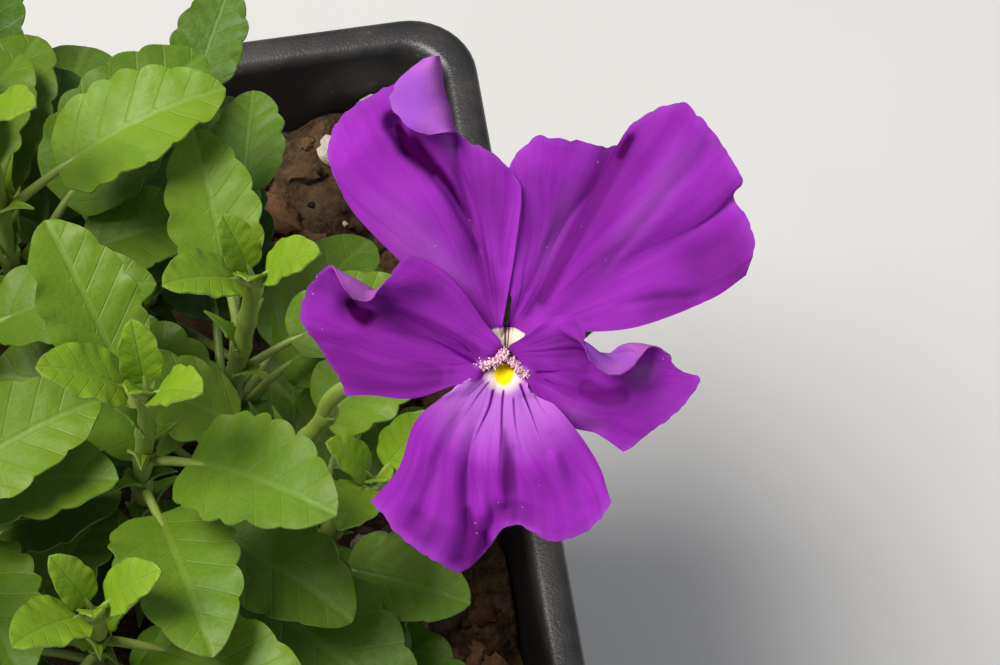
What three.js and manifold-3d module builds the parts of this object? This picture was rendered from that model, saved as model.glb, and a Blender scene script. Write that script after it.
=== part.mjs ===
// A violet viola in a square nursery planter, with its potting soil, leafy stems, blooms and buds.
// Millimetres, +Z up, origin at the centre of the planter's underside.
import * as THREE from "three";
import { mergeVertices } from "three/addons/utils/BufferGeometryUtils.js";
import Module from "manifold-3d";

const wasm = await Module();
wasm.setup();

// ---- Driving dimensions ----
const POT_WIDTH = 110; // over the rim
const POT_HEIGHT = 98;
const FOOT_WIDTH = 78; // over the wall at the floor
const WALL = 1.8;
const FLOOR = 3;
const RIM_HEIGHT = 11;
const RIM_PROUD = 2.4; // how far the rim band stands out of the wall
const SHOULDER_Z = 62; // the step on which stacked pots rest
const SHOULDER = 0.9;
const CORNER_TOP = 8;
const CORNER_FOOT = 6;
const CORNER_STEPS = 3;
const DRAIN_RADIUS = 4;
const DRAIN_OFFSET = 23;
const GROOVE_WIDTH = 6;
const GROOVE_DEPTH = 1.4;
const GAP = 0.35; // left between pieces that touch

const SOIL_Z = 88;
const SOIL_RINGS = [0.92, 0.7, 0.46, 0.22];
const HOLE_DEPTH = 9;

const STEM_RADIUS = 1.1;
const STALK_RADIUS = 0.85; // the leafless stalk that carries a bloom
const BLADE = 0.65; // thickness of leaves, petals and sepals

// The photographed bloom faces the viewer: 62 degrees above the horizon, 9 degrees left of -Y.
const VIEW_AZIMUTH = -9;
const VIEW_ELEVATION = 62;
const BLOOM_CENTRE = [45.4, -33, 178];

const RAD = Math.PI / 180;
const vec = (x, y, z) => new THREE.Vector3(x, y, z);
const mix = (a, b, t) => a + (b - a) * t;

// ---- Colours ----
const finish = (color, roughness) => new THREE.MeshStandardMaterial({ color, roughness });
const PETAL_VIOLET = finish(0x8a22a8, 0.55);
const LEAF_GREEN = finish(0x4f7a1c, 0.5);
const POT_GREY = finish(0x2b2b2e, 0.45);
const SOIL_BROWN = finish(0x2e2118, 0.95);
const STAMEN_CREAM = finish(0xe8dc9a, 0.6);

// ---- Solids ----
function solidOf(geometry) {
  const bare = geometry.index ? geometry.toNonIndexed() : geometry.clone();
  bare.deleteAttribute("normal");
  bare.deleteAttribute("uv");
  const merged = mergeVertices(bare, 1e-4);
  const index = merged.index.array;
  const triVerts = [];
  for (let i = 0; i < index.length; i += 3) {
    const [a, b, c] = [index[i], index[i + 1], index[i + 2]];
    if (a !== b && b !== c && c !== a) triVerts.push(a, b, c);
  }
  const vertProperties = merged.attributes.position.array;
  const mesh = { numProp: 3, vertProperties, triVerts: new Uint32Array(triVerts) };
  return new wasm.Manifold(new wasm.Mesh(mesh));
}

function geometryOf(solid) {
  const mesh = solid.getMesh();
  const positions = new Float32Array(mesh.numVert * 3);
  for (let i = 0; i < mesh.numVert; i++)
    positions.set(mesh.vertProperties.subarray(i * mesh.numProp, i * mesh.numProp + 3), i * 3);
  return new THREE.BufferGeometry()
    .setAttribute("position", new THREE.BufferAttribute(positions, 3))
    .setIndex(new THREE.BufferAttribute(mesh.triVerts, 1));
}

function fromTriangles(triangles) {
  const positions = new Float32Array(triangles.flat().flatMap((p) => [p.x, p.y, p.z]));
  return new THREE.BufferGeometry().setAttribute("position", new THREE.BufferAttribute(positions, 3));
}

const joined = (solids) => solids.reduce((whole, next) => whole.add(next));

// Closed skin through rings of points, with a fan over the first and the last ring.
function loft(rings) {
  const triangles = [];
  const count = rings[0].length;
  for (let r = 0; r + 1 < rings.length; r++)
    for (let i = 0; i < count; i++) {
      const [a, b] = [rings[r][i], rings[r][(i + 1) % count]];
      const [c, d] = [rings[r + 1][(i + 1) % count], rings[r + 1][i]];
      triangles.push([a, b, c], [a, c, d]);
    }
  const middle = (ring) => ring.reduce((sum, p) => sum.add(p), vec(0, 0, 0)).divideScalar(count);
  const [first, last] = [rings[0], rings.at(-1)];
  const [under, over] = [middle(first), middle(last)];
  for (let i = 0; i < count; i++) {
    const next = (i + 1) % count;
    triangles.push([first[next], first[i], under], [last[i], last[next], over]);
  }
  return fromTriangles(triangles);
}

// A thin sheet of even thickness over a grid of points, split alike on both faces.
function slab(grid, normals, thickness) {
  const face = (sign) =>
    grid.map((row, r) => row.map((p, c) => p.clone().addScaledVector(normals[r][c], (sign * thickness) / 2)));
  const [top, under] = [face(1), face(-1)];
  const [rows, columns] = [grid.length, grid[0].length];
  const triangles = [];
  for (let r = 0; r + 1 < rows; r++)
    for (let c = 0; c + 1 < columns; c++) {
      triangles.push([top[r][c], top[r][c + 1], top[r + 1][c + 1]]);
      triangles.push([top[r][c], top[r + 1][c + 1], top[r + 1][c]]);
      triangles.push([under[r][c], under[r + 1][c + 1], under[r][c + 1]]);
      triangles.push([under[r][c], under[r + 1][c], under[r + 1][c + 1]]);
    }
  const rim = [];
  for (let c = 0; c + 1 < columns; c++) rim.push([0, c]);
  for (let r = 0; r + 1 < rows; r++) rim.push([r, columns - 1]);
  for (let c = columns - 1; c > 0; c--) rim.push([rows - 1, c]);
  for (let r = rows - 1; r > 0; r--) rim.push([r, 0]);
  rim.forEach(([r, c], i) => {
    const [nr, nc] = rim[(i + 1) % rim.length];
    triangles.push([under[r][c], under[nr][nc], top[nr][nc]], [under[r][c], top[nr][nc], top[r][c]]);
  });
  return fromTriangles(triangles);
}

// Normals of a grid, by the differences between its neighbouring points.
function gridNormals(grid) {
  const within = (i, count) => Math.min(Math.max(i, 0), count - 1);
  const at = (r, c) => grid[within(r, grid.length)][within(c, grid[0].length)];
  return grid.map((row, r) =>
    row.map((_, c) => {
      const across = at(r, c + 1).clone().sub(at(r, c - 1));
      const along = at(r + 1, c).clone().sub(at(r - 1, c));
      return across.cross(along).normalize();
    }),
  );
}

function tube(points, radius, sides, steps) {
  const outline = new THREE.Shape();
  for (let i = 0; i < sides; i++) {
    const turn = (i / sides) * 2 * Math.PI;
    const [x, y] = [radius * Math.cos(turn), radius * Math.sin(turn)];
    if (i) outline.lineTo(x, y);
    else outline.moveTo(x, y);
  }
  const extrudePath = new THREE.CatmullRomCurve3(points);
  return solidOf(new THREE.ExtrudeGeometry(outline, { steps, bevelEnabled: false, extrudePath }));
}

// ---- Planter and soil ----
function roundedSquare(half, radius, z) {
  const ring = [];
  for (let corner = 0; corner < 4; corner++)
    for (let i = 0; i <= CORNER_STEPS; i++) {
      const turn = (corner + i / CORNER_STEPS) * 90 * RAD;
      const [sx, sy] = [[1, 1], [-1, 1], [-1, -1], [1, -1]][corner];
      const [x, y] = [radius * Math.cos(turn), radius * Math.sin(turn)];
      ring.push(vec(sx * (half - radius) + x, sy * (half - radius) + y, z));
    }
  return ring;
}

// Half width of the planter's outer wall at a height, with the shoulder's step.
function outerHalf(z) {
  const plain = mix(FOOT_WIDTH / 2, POT_WIDTH / 2 - RIM_PROUD, z / POT_HEIGHT);
  return z < SHOULDER_Z ? plain - SHOULDER : plain;
}
const innerHalf = (z) => outerHalf(z) - WALL;
const cornerAt = (z) => mix(CORNER_FOOT, CORNER_TOP, z / POT_HEIGHT);
const wallRing = (z, inset = 0) => roundedSquare(outerHalf(z) - inset, cornerAt(z) - inset, z);

function planter() {
  const rimZ = POT_HEIGHT - RIM_HEIGHT;
  const [half, edge] = [POT_WIDTH / 2, 0.8];
  const shell = loft([
    wallRing(0, 0.8),
    wallRing(1.2),
    wallRing(SHOULDER_Z - 0.01),
    wallRing(SHOULDER_Z + 0.6),
    wallRing(rimZ),
    roundedSquare(half - 0.3, CORNER_TOP, rimZ + 0.8),
    roundedSquare(half, CORNER_TOP, POT_HEIGHT - edge),
    roundedSquare(half - edge, CORNER_TOP - edge, POT_HEIGHT),
    roundedSquare(half - RIM_PROUD - WALL + edge, CORNER_TOP - RIM_PROUD, POT_HEIGHT),
    wallRing(POT_HEIGHT - edge, WALL),
    wallRing(SHOULDER_Z + 0.6, WALL),
    wallRing(SHOULDER_Z - 0.01, WALL),
    wallRing(FLOOR, WALL),
  ]);
  let solid = solidOf(shell);
  const drain = new THREE.CylinderGeometry(DRAIN_RADIUS, DRAIN_RADIUS, 4 * FLOOR, 10).rotateX(Math.PI / 2);
  for (let corner = 0; corner < 4; corner++) {
    const hole = drain.clone().translate(DRAIN_OFFSET, DRAIN_OFFSET, 0);
    const bar = new THREE.BoxGeometry(2 * FOOT_WIDTH, GROOVE_WIDTH, 2 * GROOVE_DEPTH);
    const groove = bar.translate(0, DRAIN_OFFSET, 0);
    for (const cut of [hole, groove]) solid = solid.subtract(solidOf(cut.rotateZ((corner * Math.PI) / 2)));
  }
  return solid;
}

// Lumps of the soil's top, as a sum of waves.
const soilHeight = (x, y) =>
  SOIL_Z + 1.0 * Math.sin(0.21 * x + 1.3) * Math.cos(0.17 * y) + 0.7 * Math.sin(0.61 * x - 0.47 * y + 2.1);

function soil(holes) {
  const inset = WALL + GAP;
  const top = roundedSquare(innerHalf(SOIL_Z) - GAP, cornerAt(SOIL_Z) - inset, SOIL_Z);
  const onTop = (share) =>
    top.map((p) => vec(p.x * share, p.y * share, soilHeight(p.x * share, p.y * share)));
  const rings = [
    wallRing(FLOOR + GAP, inset),
    wallRing(SHOULDER_Z - 0.01, inset),
    wallRing(SHOULDER_Z + 0.9, inset),
    top.map((p) => vec(p.x, p.y, soilHeight(p.x, p.y) - 0.6)),
    ...SOIL_RINGS.map(onTop),
  ];
  let solid = solidOf(loft(rings));
  for (const [x, y, radius] of holes) {
    const hole = new THREE.CylinderGeometry(radius, radius, 2 * HOLE_DEPTH, 6).rotateX(Math.PI / 2);
    solid = solid.subtract(solidOf(hole.translate(x, y, SOIL_Z)));
  }
  return solid;
}

// ---- Petals of the photographed bloom ----
// Face frame: x right, y up and z towards the viewer, from the middle of the throat.
// Each ray runs from the throat to a point of the petal's outer margin: [x, y, z, depth halfway].
// A ray with seven numbers turns over a ridge, [.., ridge x, y, z], before it reaches the margin.
// sides are the two side margins, each by two points: [x, y, z, x, y, z].
// middle is where the rays between them are halfway: [x, y].
const UPPER_LEFT = {
  root: [150, 98],
  throat: [[-1.7, 2.5, -2.3], [-0.9, 2.9, -2.1], [-0.25, 3.0, -1.8]],
  middle: [-4.4, 14.2],
  sides: [[-8.9, 8.7, -1.3, -13.2, 13.0, 0.1], [0.8, 9.0, -1.1, 1.4, 13.4, -0.2]],
  rays: [
    [-15.0, 16.4, 0.9, -1.2], [-15.5, 18.9, 1.2, -0.5], [-14.4, 21.6, 1.1, 0.3], [-12.3, 23.2, 0.7, 0.9],
    [-10.2, 24.2, 0.3, 1.3], [-8.0, 25.4, -0.1, 0.0], [-6.1, 26.5, -0.4, -1.8], [-4.3, 19.8, 1.2, -1.6],
    [-2.0, 18.8, 0.9, -1.1], [0.3, 17.2, 0.4, -0.8], [1.4, 15.4, 0.1, -0.9],
  ],
};
// Its top is folded over to the left along a hinge, as a flap: points of the hinge and of the free margin.
const FLAP_HINGE = [
  [-6.0, 26.3, -0.3], [-5.7, 24.9, 0.1], [-5.2, 23.2, 0.5], [-4.8, 21.6, 0.9], [-4.4, 20.1, 1.2],
];
const FLAP_MARGIN = [
  [-7.2, 25.9, 0.9], [-9.2, 24.4, 2.3], [-10.0, 22.7, 2.9], [-9.0, 20.9, 3.1], [-6.8, 19.9, 2.8],
];
const FLAP_RISE = 1.3; // how far the fold bulges towards the viewer
const UPPER_RIGHT = {
  root: [82, 30],
  throat: [[0.25, 3.0, -3.0], [0.9, 2.9, -2.8], [1.8, 2.3, -2.7]],
  middle: [7.2, 12.0],
  sides: [[0.9, 8.8, -2.6, 1.3, 13.6, -2.1], [11.6, 3.1, -1.2, 18.0, 5.5, -0.8]],
  rays: [
    [0.9, 16.6, -1.5, -2.6], [1.9, 18.6, -1.1, -2.2], [3.6, 19.8, -0.8, -1.8], [6.6, 19.6, -0.9, -2.1],
    [9.5, 19.0, -2.2, -3.0], [11.5, 21.2, 0.6, -1.7], [15.6, 22.6, 1.3, -0.1], [18.5, 19.8, 0.4, 0.5],
    [20.8, 16.2, 1.0, 0.2], [20.3, 14.5, -0.5, -0.4], [21.9, 10.8, 0.6, -0.3], [21.4, 7.8, -0.2, -0.9],
  ],
};
const SIDE_LEFT = {
  root: [168, 214],
  throat: [[-0.25, 1.35, 0.3], [-1.3, 0.35, 0.1], [-2.3, -0.7, 0.0]],
  middle: [-8.6, 2.9],
  sides: [[-4.2, 6.9, 1.2, -6.4, 8.7, 1.5], [-8.1, -3.1, 0.5, -12.0, -2.9, 0.3]],
  rays: [
    [-8.4, 9.4, 1.8, 1.2], [-9.7, 8.2, 1.9, 1.0], [-10.8, 6.5, 2.6, 0.3, -10.1, 6.4, 1.8],
    [-12.0, 5.4, 3.7, 0.0, -11.8, 6.1, 2.2], [-13.7, 6.0, 4.0, 0.0, -13.3, 7.2, 2.3],
    [-15.3, 8.3, 2.7, 0.2, -14.6, 7.6, 2.0], [-17.2, 6.7, 1.0, 0.6], [-18.0, 4.0, 0.4, 0.8],
    [-16.8, 1.9, 0.2, 0.9], [-15.0, -0.8, 0.4, 0.9], [-13.9, -2.8, 0.2, 0.7],
  ],
};
const SIDE_RIGHT = {
  root: [12, -34],
  throat: [[0.35, 1.25, 0.3], [1.3, 0.3, 0.0], [2.1, -0.6, -0.3]],
  middle: [7.8, -0.7],
  sides: [[3.2, 3.4, 1.1, 4.9, 4.1, 1.5], [5.8, -5.1, -0.9, 8.4, -6.5, -0.6]],
  rays: [
    [6.3, 4.0, 1.8, 1.1], [6.9, 2.6, 2.2, 1.0], [7.2, 0.5, 3.4, 0.8, 7.3, 1.5, 2.2],
    [9.4, -1.1, 3.9, 0.5, 9.4, 0.2, 2.1], [11.2, -0.4, 3.7, 0.3, 11.2, 0.8, 2.0], [12.6, 1.4, 2.0, 0.3],
    [14.2, 0.9, 1.0, 0.4], [15.5, -0.8, 0.5, 0.6], [17.2, -1.6, 0.8, 0.6], [15.5, -4.0, 0.6, 0.4],
    [12.8, -6.3, 0.1, 0.0], [10.4, -7.9, -0.2, -0.6],
  ],
};
const LOWER = {
  root: [228, 312],
  throat: [[-2.2, -1.5, -0.2], [0, -0.2, -0.9], [2.1, -1.5, 0.1]],
  middle: [-1.4, -8.6],
  sides: [[-7.7, -5.2, 0.9, -9.3, -9.2, 0.8], [5.4, -4.8, 1.4, 8.1, -8.8, 0.6]],
  rays: [
    [-11.7, -12.2, 0.2, 0.9], [-10.2, -14.2, 0.5, 0.9], [-8.2, -16.2, 0.3, 0.7], [-6.2, -17.6, -0.2, 0.3],
    [-3.7, -18.3, -0.8, 0.0], [-1.7, -16.8, -1.4, 0.5], [-0.6, -15.1, 0.0, 0.9], [1.2, -14.5, 1.0, 0.6],
    [4.3, -15.8, 0.8, 0.8], [7.0, -15.0, 0.5, 1.0], [8.6, -13.6, 0.3, 1.2], [9.2, -12.0, 0.3, 1.4],
  ],
};
const ROOT_RADIUS = 2.3; // the ring round the stamens on which the petals' claws stand
const ROOT_Z = -4.2;
const NEAR = 0.4; // where the station near the throat lies on the way to halfway
const RIDGE = 0.82; // where a plain ray's ridge lies on the way to the margin

// The six stations of a ray: root, throat, near, halfway, ridge and margin.
function rayStations(petal, i) {
  const { rays, sides, middle } = petal;
  const share = i / (rays.length - 1);
  const turn = mix(...petal.root, share) * RAD;
  const root = vec(ROOT_RADIUS * Math.cos(turn), ROOT_RADIUS * Math.sin(turn), ROOT_Z);
  const [a, b, c] = petal.throat.map((p) => vec(...p));
  const throat = share < 0.5 ? a.clone().lerp(b, 2 * share) : b.clone().lerp(c, 2 * share - 1);
  const [x, y, z, halfwayZ, ...turned] = rays[i];
  const margin = vec(x, y, z);
  // halfway, the rays are spread evenly from one side margin through the middle to the other
  const weights = [(1 - share) * (1 - 2 * share), 4 * share * (1 - share), share * (2 * share - 1)];
  const [left, right] = sides;
  const spread = (k) => weights[0] * left[k] + weights[1] * middle[k] + weights[2] * right[k];
  const halfway = vec(spread(0), spread(1), halfwayZ);
  // the side margins bow the ridges of the rays beside them
  const ridge = throat.clone().lerp(margin, RIDGE).setZ(mix(halfwayZ, z, 0.66));
  for (const [side, weight] of [[0, (1 - share) ** 2], [1, share ** 2]]) {
    const straight = [a, c][side].clone().lerp(vec(...rays.at(-side).slice(0, 3)), RIDGE);
    ridge.x += weight * (sides[side][3] - straight.x);
    ridge.y += weight * (sides[side][4] - straight.y);
  }
  const edge = [left, ...Array(rays.length - 2), right][i];
  if (edge) halfway.z = edge[2];
  if (edge) ridge.z = edge[5];
  const around = rays.slice(Math.max(0, i - 2), i + 3).map((ray) => ray[3]);
  const calm = around.reduce((sum, depth) => sum + depth, 0) / around.length;
  const near = throat.clone().lerp(halfway, NEAR).setZ(mix(throat.z, calm, NEAR));
  return [root, throat, near, halfway, turned.length ? vec(...turned) : ridge, margin];
}

// The petal's surface as a grid: rows along the rays, columns from ray to ray.
function petalGrid(petal, columns, rows) {
  const smooth = (points) => new THREE.CatmullRomCurve3(points, false, "catmullrom");
  const stations = petal.rays.map((_, i) => rayStations(petal, i));
  const across = stations[0].map((_, k) => smooth(stations.map((ray) => ray[k])));
  const lines = columns.map((s) => smooth(across.map((curve) => curve.getPoint(s))));
  return rows.map((t) => lines.map((line) => line.getPoint(t)));
}

const evenly = (count) => Array.from({ length: count + 1 }, (_, i) => i / count);
const ALONG = [0, 0.2, 0.4, 0.6, 0.72, 0.86, 1];
const COARSE_ALONG = [0, 0.2, 0.6, 1];

// The flap as a grid: rows from the hinge to the free margin.
function flapGrid(columns, rows) {
  const smooth = (points) => new THREE.CatmullRomCurve3(points, false, "catmullrom");
  const [hinge, margin] = [FLAP_HINGE, FLAP_MARGIN].map((points) => smooth(points.map((p) => vec(...p))));
  return rows.map((t) =>
    columns.map((s) => {
      const point = hinge.getPoint(s).lerp(margin.getPoint(s), t);
      return point.setZ(point.z + FLAP_RISE * Math.sin(Math.PI * Math.sqrt(t)));
    }),
  );
}

// Normals softened over their neighbours, so that the sheet's faces stay apart in its folds.
function calmNormals(grid) {
  let normals = gridNormals(grid);
  for (let pass = 0; pass < 2; pass++)
    normals = normals.map((row, r) =>
      row.map((normal, c) => {
        const around = [row[c - 1], row[c + 1], (normals[r - 1] ?? [])[c], (normals[r + 1] ?? [])[c]];
        const start = normal.clone().multiplyScalar(2);
        return around.reduce((sum, other) => sum.add(other ?? normal), start).normalize();
      }),
    );
  return normals;
}
const sheet = (grid) => solidOf(slab(grid, calmNormals(grid), BLADE));

function petalSolid(petal, columns = petal.rays.length - 1, rows = ALONG) {
  const clockwise = petal.root[1] < petal.root[0];
  return sheet(petalGrid(petal, evenly(columns), rows).map((row) => (clockwise ? row : row.reverse())));
}
const flap = () => sheet(flapGrid(evenly(4), [0, 0.1, 0.4, 1]).map((row) => row.reverse()));

// The nectar spur: a blunt tube behind the lower petal.
const SPUR = [vec(0, -2.7, -2.8), vec(0, -3.9, -4.8), vec(0, -4.9, -8), vec(0, -5.0, -12.5)];
const SPUR_RADIUS = 1.1;
const spur = () => tube(SPUR, SPUR_RADIUS, 6, 4);

// The stamens stand round the pistil as one cone, a little above the middle of the throat.
const STAMEN_PROFILE = [[0, -4.5], [1, -4.5], [1, -3.3], [0.45, -2.1], [0, -1.9]];
const STAMEN_Y = 0.5;

function lathe(profile, sides) {
  const points = profile.map(([r, z]) => new THREE.Vector2(r, z));
  return solidOf(new THREE.LatheGeometry(points, sides).rotateX(Math.PI / 2));
}
const stamens = () => lathe(STAMEN_PROFILE, 10).translate([0, STAMEN_Y, 0]);

// ---- Petals of the other blooms, which are smaller and regular ----
// [direction, half spread, length, height of the rim, height halfway]
const PLAIN_PETALS = [
  [122, 36, 20, -2.2, -3.0], [58, 36, 20, -1.2, -2.0], [192, 34, 17, 0.6, -0.4], [-12, 34, 17, 0.6, -0.4],
  [270, 40, 17, 1.2, 1.6],
];
const PLAIN_RAYS = 6;
const PLAIN_THROAT = 2.2;
const COLLAR = [[0, -4.6], [2.6, -4.6], [2.6, -3.8], [0, -3.8]];

function plainPetal([direction, spread, length, rimZ, halfwayZ]) {
  const fan = (share) => (direction + spread * (1 - 2 * share)) * RAD;
  const rays = evenly(PLAIN_RAYS).map((share) => {
    const reach = length * (1 - 0.28 * (2 * share - 1) ** 4);
    const turn = fan(share);
    const wave = 0.7 * Math.sin(7 * turn);
    return [reach * Math.cos(turn), reach * Math.sin(turn), rimZ + wave, halfwayZ];
  });
  const throat = [0.2, 0.5, 0.8].map((share) => {
    const turn = fan(share);
    return [PLAIN_THROAT * Math.cos(turn), PLAIN_THROAT * Math.sin(turn), mix(halfwayZ, -1.5, 0.7)];
  });
  const sides = [0, 1].map((share) =>
    [[0.5, halfwayZ], [0.8, mix(halfwayZ, rimZ, 0.6)]].flatMap(([reach, z]) => {
      const turn = fan(share) + (share ? -1 : 1) * 0.12;
      return [0.78 * length * reach * Math.cos(turn), 0.78 * length * reach * Math.sin(turn), z];
    }),
  );
  const middle = [Math.cos(fan(0.5)), Math.sin(fan(0.5))].map((part) => 0.55 * length * part);
  return { root: [direction + 0.6 * spread, direction - 0.6 * spread], throat, middle, sides, rays };
}

function plainBloom() {
  const petals = PLAIN_PETALS.map((shape) => petalSolid(plainPetal(shape), PLAIN_RAYS, COARSE_ALONG));
  return joined([lathe(COLLAR, 8), spur(), ...petals]);
}

// A bud's petals, rolled into a blunt twisted cone: [height, radius].
const BUD_RINGS = [[-4.5, 1.2], [-3.2, 2.4], [-0.6, 3.2], [2.4, 3.0], [5.2, 2.1], [7.4, 0.8]];
const BUD_SIDES = 10;

function budPetals() {
  return solidOf(loft(BUD_RINGS.map(([z, radius]) =>
    Array.from({ length: BUD_SIDES }, (_, i) => {
      const turn = (i / BUD_SIDES) * 2 * Math.PI + 0.12 * z;
      const bulge = i % 2 ? 0.9 : 1.08;
      return vec(radius * bulge * Math.cos(turn), radius * bulge * Math.sin(turn), z);
    }))));
}

// ---- Calyx ----
const SEPAL_TURNS = [90, 22, 158, 222, 330];
const RECEPTACLE = [[0, -8.8], [1.2, -8.6], [2.2, -7.2], [2.4, -5.9], [1.6, -4.95], [0, -4.95]];
const SEPAL_WIDTH = 3;
// Rows of a pointed sepal, from the lobe behind the calyx to the tip in front: [radius, z, share of width].
const SEPAL_LOBE = [[3.2, -10.4, 0.5], [1.9, -7.6, 0.8]];
const OPEN_SEPAL = [...SEPAL_LOBE, [3.0, -6.0, 0.95], [6.4, -5.3, 0.85], [9.4, -5.2, 0.12]];
const SHUT_SEPAL = [...SEPAL_LOBE, [3.0, -5.6, 0.95], [4.5, -1.6, 0.9], [4.4, 2.6, 0.12]];

function sepal(turn, rows) {
  const side = vec(-Math.sin(turn * RAD), Math.cos(turn * RAD), 0);
  const out = vec(Math.cos(turn * RAD), Math.sin(turn * RAD), 0);
  const grid = rows.map(([radius, z, width]) => {
    const middle = out.clone().multiplyScalar(radius).setZ(z);
    return [1, -1].map((s) => middle.clone().addScaledVector(side, (s * width * SEPAL_WIDTH) / 2));
  });
  return solidOf(slab(grid, gridNormals(grid), BLADE));
}

const calyx = (rows) => joined([lathe(RECEPTACLE, 8), ...SEPAL_TURNS.map((turn) => sepal(turn, rows))]);

// ---- Heads: what a stalk carries ----
// azimuth and elevation say where the face looks, as the viewer's do.
const TO_VIEWER = { azimuth: VIEW_AZIMUTH, elevation: VIEW_ELEVATION };
const FLOWERING = [
  { base: [20, -8], top: [31, -12, 132], centre: BLOOM_CENTRE, ...TO_VIEWER, scale: 1 },
  { base: [-9, -8], top: [-17, -11, 136], centre: [-35, -27, 167], azimuth: -48, elevation: 42, scale: 0.78 },
  { base: [-9, 14], top: [-16, 24, 130], centre: [-24, 38, 161], azimuth: 150, elevation: 48, scale: 0.7 },
];
const BUDDING = [
  { base: [-4, -20], top: [-14, -36, 122], centre: [-20, -49, 146], azimuth: -30, elevation: 12, scale: 0.8 },
  { base: [-22, 2], top: [-38, 4, 126], centre: [-49, 5, 151], azimuth: -100, elevation: 20, scale: 0.85 },
  { base: [-2, 5], top: [-11, 4, 140], centre: [-22, 3, 172], azimuth: -80, elevation: 35, scale: 0.7 },
];
const STALK_END = -8; // where the stalk meets the receptacle, in the face frame
const STALK_REACH = 20; // how long the stalk's end follows the head's axis
const STALK_LIFT = 12;

// A matrix from the face frame of a head to the planter's frame.
function facing({ centre, azimuth, elevation, scale }) {
  const [a, e] = [azimuth * RAD, elevation * RAD];
  const towards = vec(Math.sin(a) * Math.cos(e), -Math.cos(a) * Math.cos(e), Math.sin(e));
  const right = vec(Math.cos(a), Math.sin(a), 0);
  const up = towards.clone().cross(right);
  const turned = new THREE.Matrix4().makeBasis(right, up, towards);
  return turned.scale(vec(scale, scale, scale)).setPosition(...centre);
}
const placed = (solid, head) => solidOf(geometryOf(solid).applyMatrix4(facing(head)));

// ---- Leafy stems ----
const LEAFY_COUNT = 11;
const GOLDEN_ANGLE = 137.508;
const SPIRAL_START = 312;
const BASE_SPREAD = [14, 34]; // how far from the middle the first and the last stem stand
const HEAD_SPREAD = [20, 44]; // and how far their heads lean
const HEAD_HEIGHT = [146, 122];
const OPEN_CORNER = 45; // the direction in which stems stay low, so that the soil shows
const OPEN_LOW = 16;

function leafyStem(index) {
  const share = index / (LEAFY_COUNT - 1);
  const turn = (SPIRAL_START + index * GOLDEN_ANGLE) * RAD;
  const open = Math.max(0, Math.cos(turn - OPEN_CORNER * RAD)) ** 8;
  const [near, far] = [mix(...BASE_SPREAD, share), mix(...HEAD_SPREAD, share) - OPEN_LOW * open];
  const top = [far * Math.cos(turn), far * Math.sin(turn), mix(...HEAD_HEIGHT, share) - 2 * OPEN_LOW * open];
  return { base: [near * Math.cos(turn), near * Math.sin(turn)], top };
}

// A stem rises straight out of its hole and then leans to its top.
const STEM_RISE = 18;
function stemCurve({ base, top }) {
  const [foot, end] = [vec(...base, SOIL_Z + 2), vec(...top)];
  const halfway = foot.clone().lerp(end, 0.5).setZ(mix(foot.z, end.z, 0.6));
  return new THREE.CubicBezierCurve3(foot, foot.clone().setZ(foot.z + STEM_RISE), halfway, end);
}

function stalkCurve(stem) {
  const matrix = facing(stem);
  const end = vec(0, 0, STALK_END).applyMatrix4(matrix);
  const towards = vec(0, 0, 1).transformDirection(matrix);
  const start = stemCurve(stem).getPoint(0.97);
  const lifted = start.clone().setZ(start.z + STALK_LIFT);
  return new THREE.CubicBezierCurve3(start, lifted, end.clone().addScaledVector(towards, -STALK_REACH), end);
}

function stemSolid(stem) {
  const curve = stemCurve(stem);
  const [x, y] = stem.base;
  const hole = [SOIL_Z - HOLE_DEPTH + GAP, SOIL_Z - HOLE_DEPTH / 2].map((z) => vec(x, y, z));
  const parts = [tube([...hole, ...curve.getPoints(5)], STEM_RADIUS, 5, 7)];
  if (stem.centre) parts.push(tube(stalkCurve(stem).getPoints(6), STALK_RADIUS, 5, 7));
  return joined(parts);
}

// Seeded draws between two numbers, a stream for every stem.
function drawer(stream) {
  let state = Math.imul(stream + 1, 2654435761) >>> 0;
  return (low, high) => {
    state = (Math.imul(state, 1664525) + 1013904223) >>> 0;
    return mix(low, high, state / 2 ** 32);
  };
}

// ---- Leaves ----
// The blade's outline with its round teeth: [share of the length, share of the half width].
const OUTLINE = [
  [0, 0.1], [0.1, 0.72], [0.28, 1], [0.35, 0.87], [0.52, 0.93], [0.59, 0.76], [0.78, 0.6], [1, 0.07],
];
const SMALL_OUTLINE = [[0, 0.1], [0.12, 0.7], [0.32, 1], [0.42, 0.84], [0.66, 0.8], [1, 0.07]];
const SMALL_LEVEL = 5; // from this level on, a leaf has the small outline
const PETIOLE_HALF = 0.65;
const LEAF_LENGTH = [27, 15]; // of the lowest and the highest blade
const LEAF_HALF = [8, 4.6];
const PETIOLE_LENGTH = [15, 5];
const LEAF_PITCH = [22, 48]; // the petiole's rise in degrees
const LEAF_DROOP = [62, 40]; // how much of it the tip loses
const LEAF_FOLD = 16; // degrees by which each half of the blade rises from the midrib

const LEAF_STEPS = 12;

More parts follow.
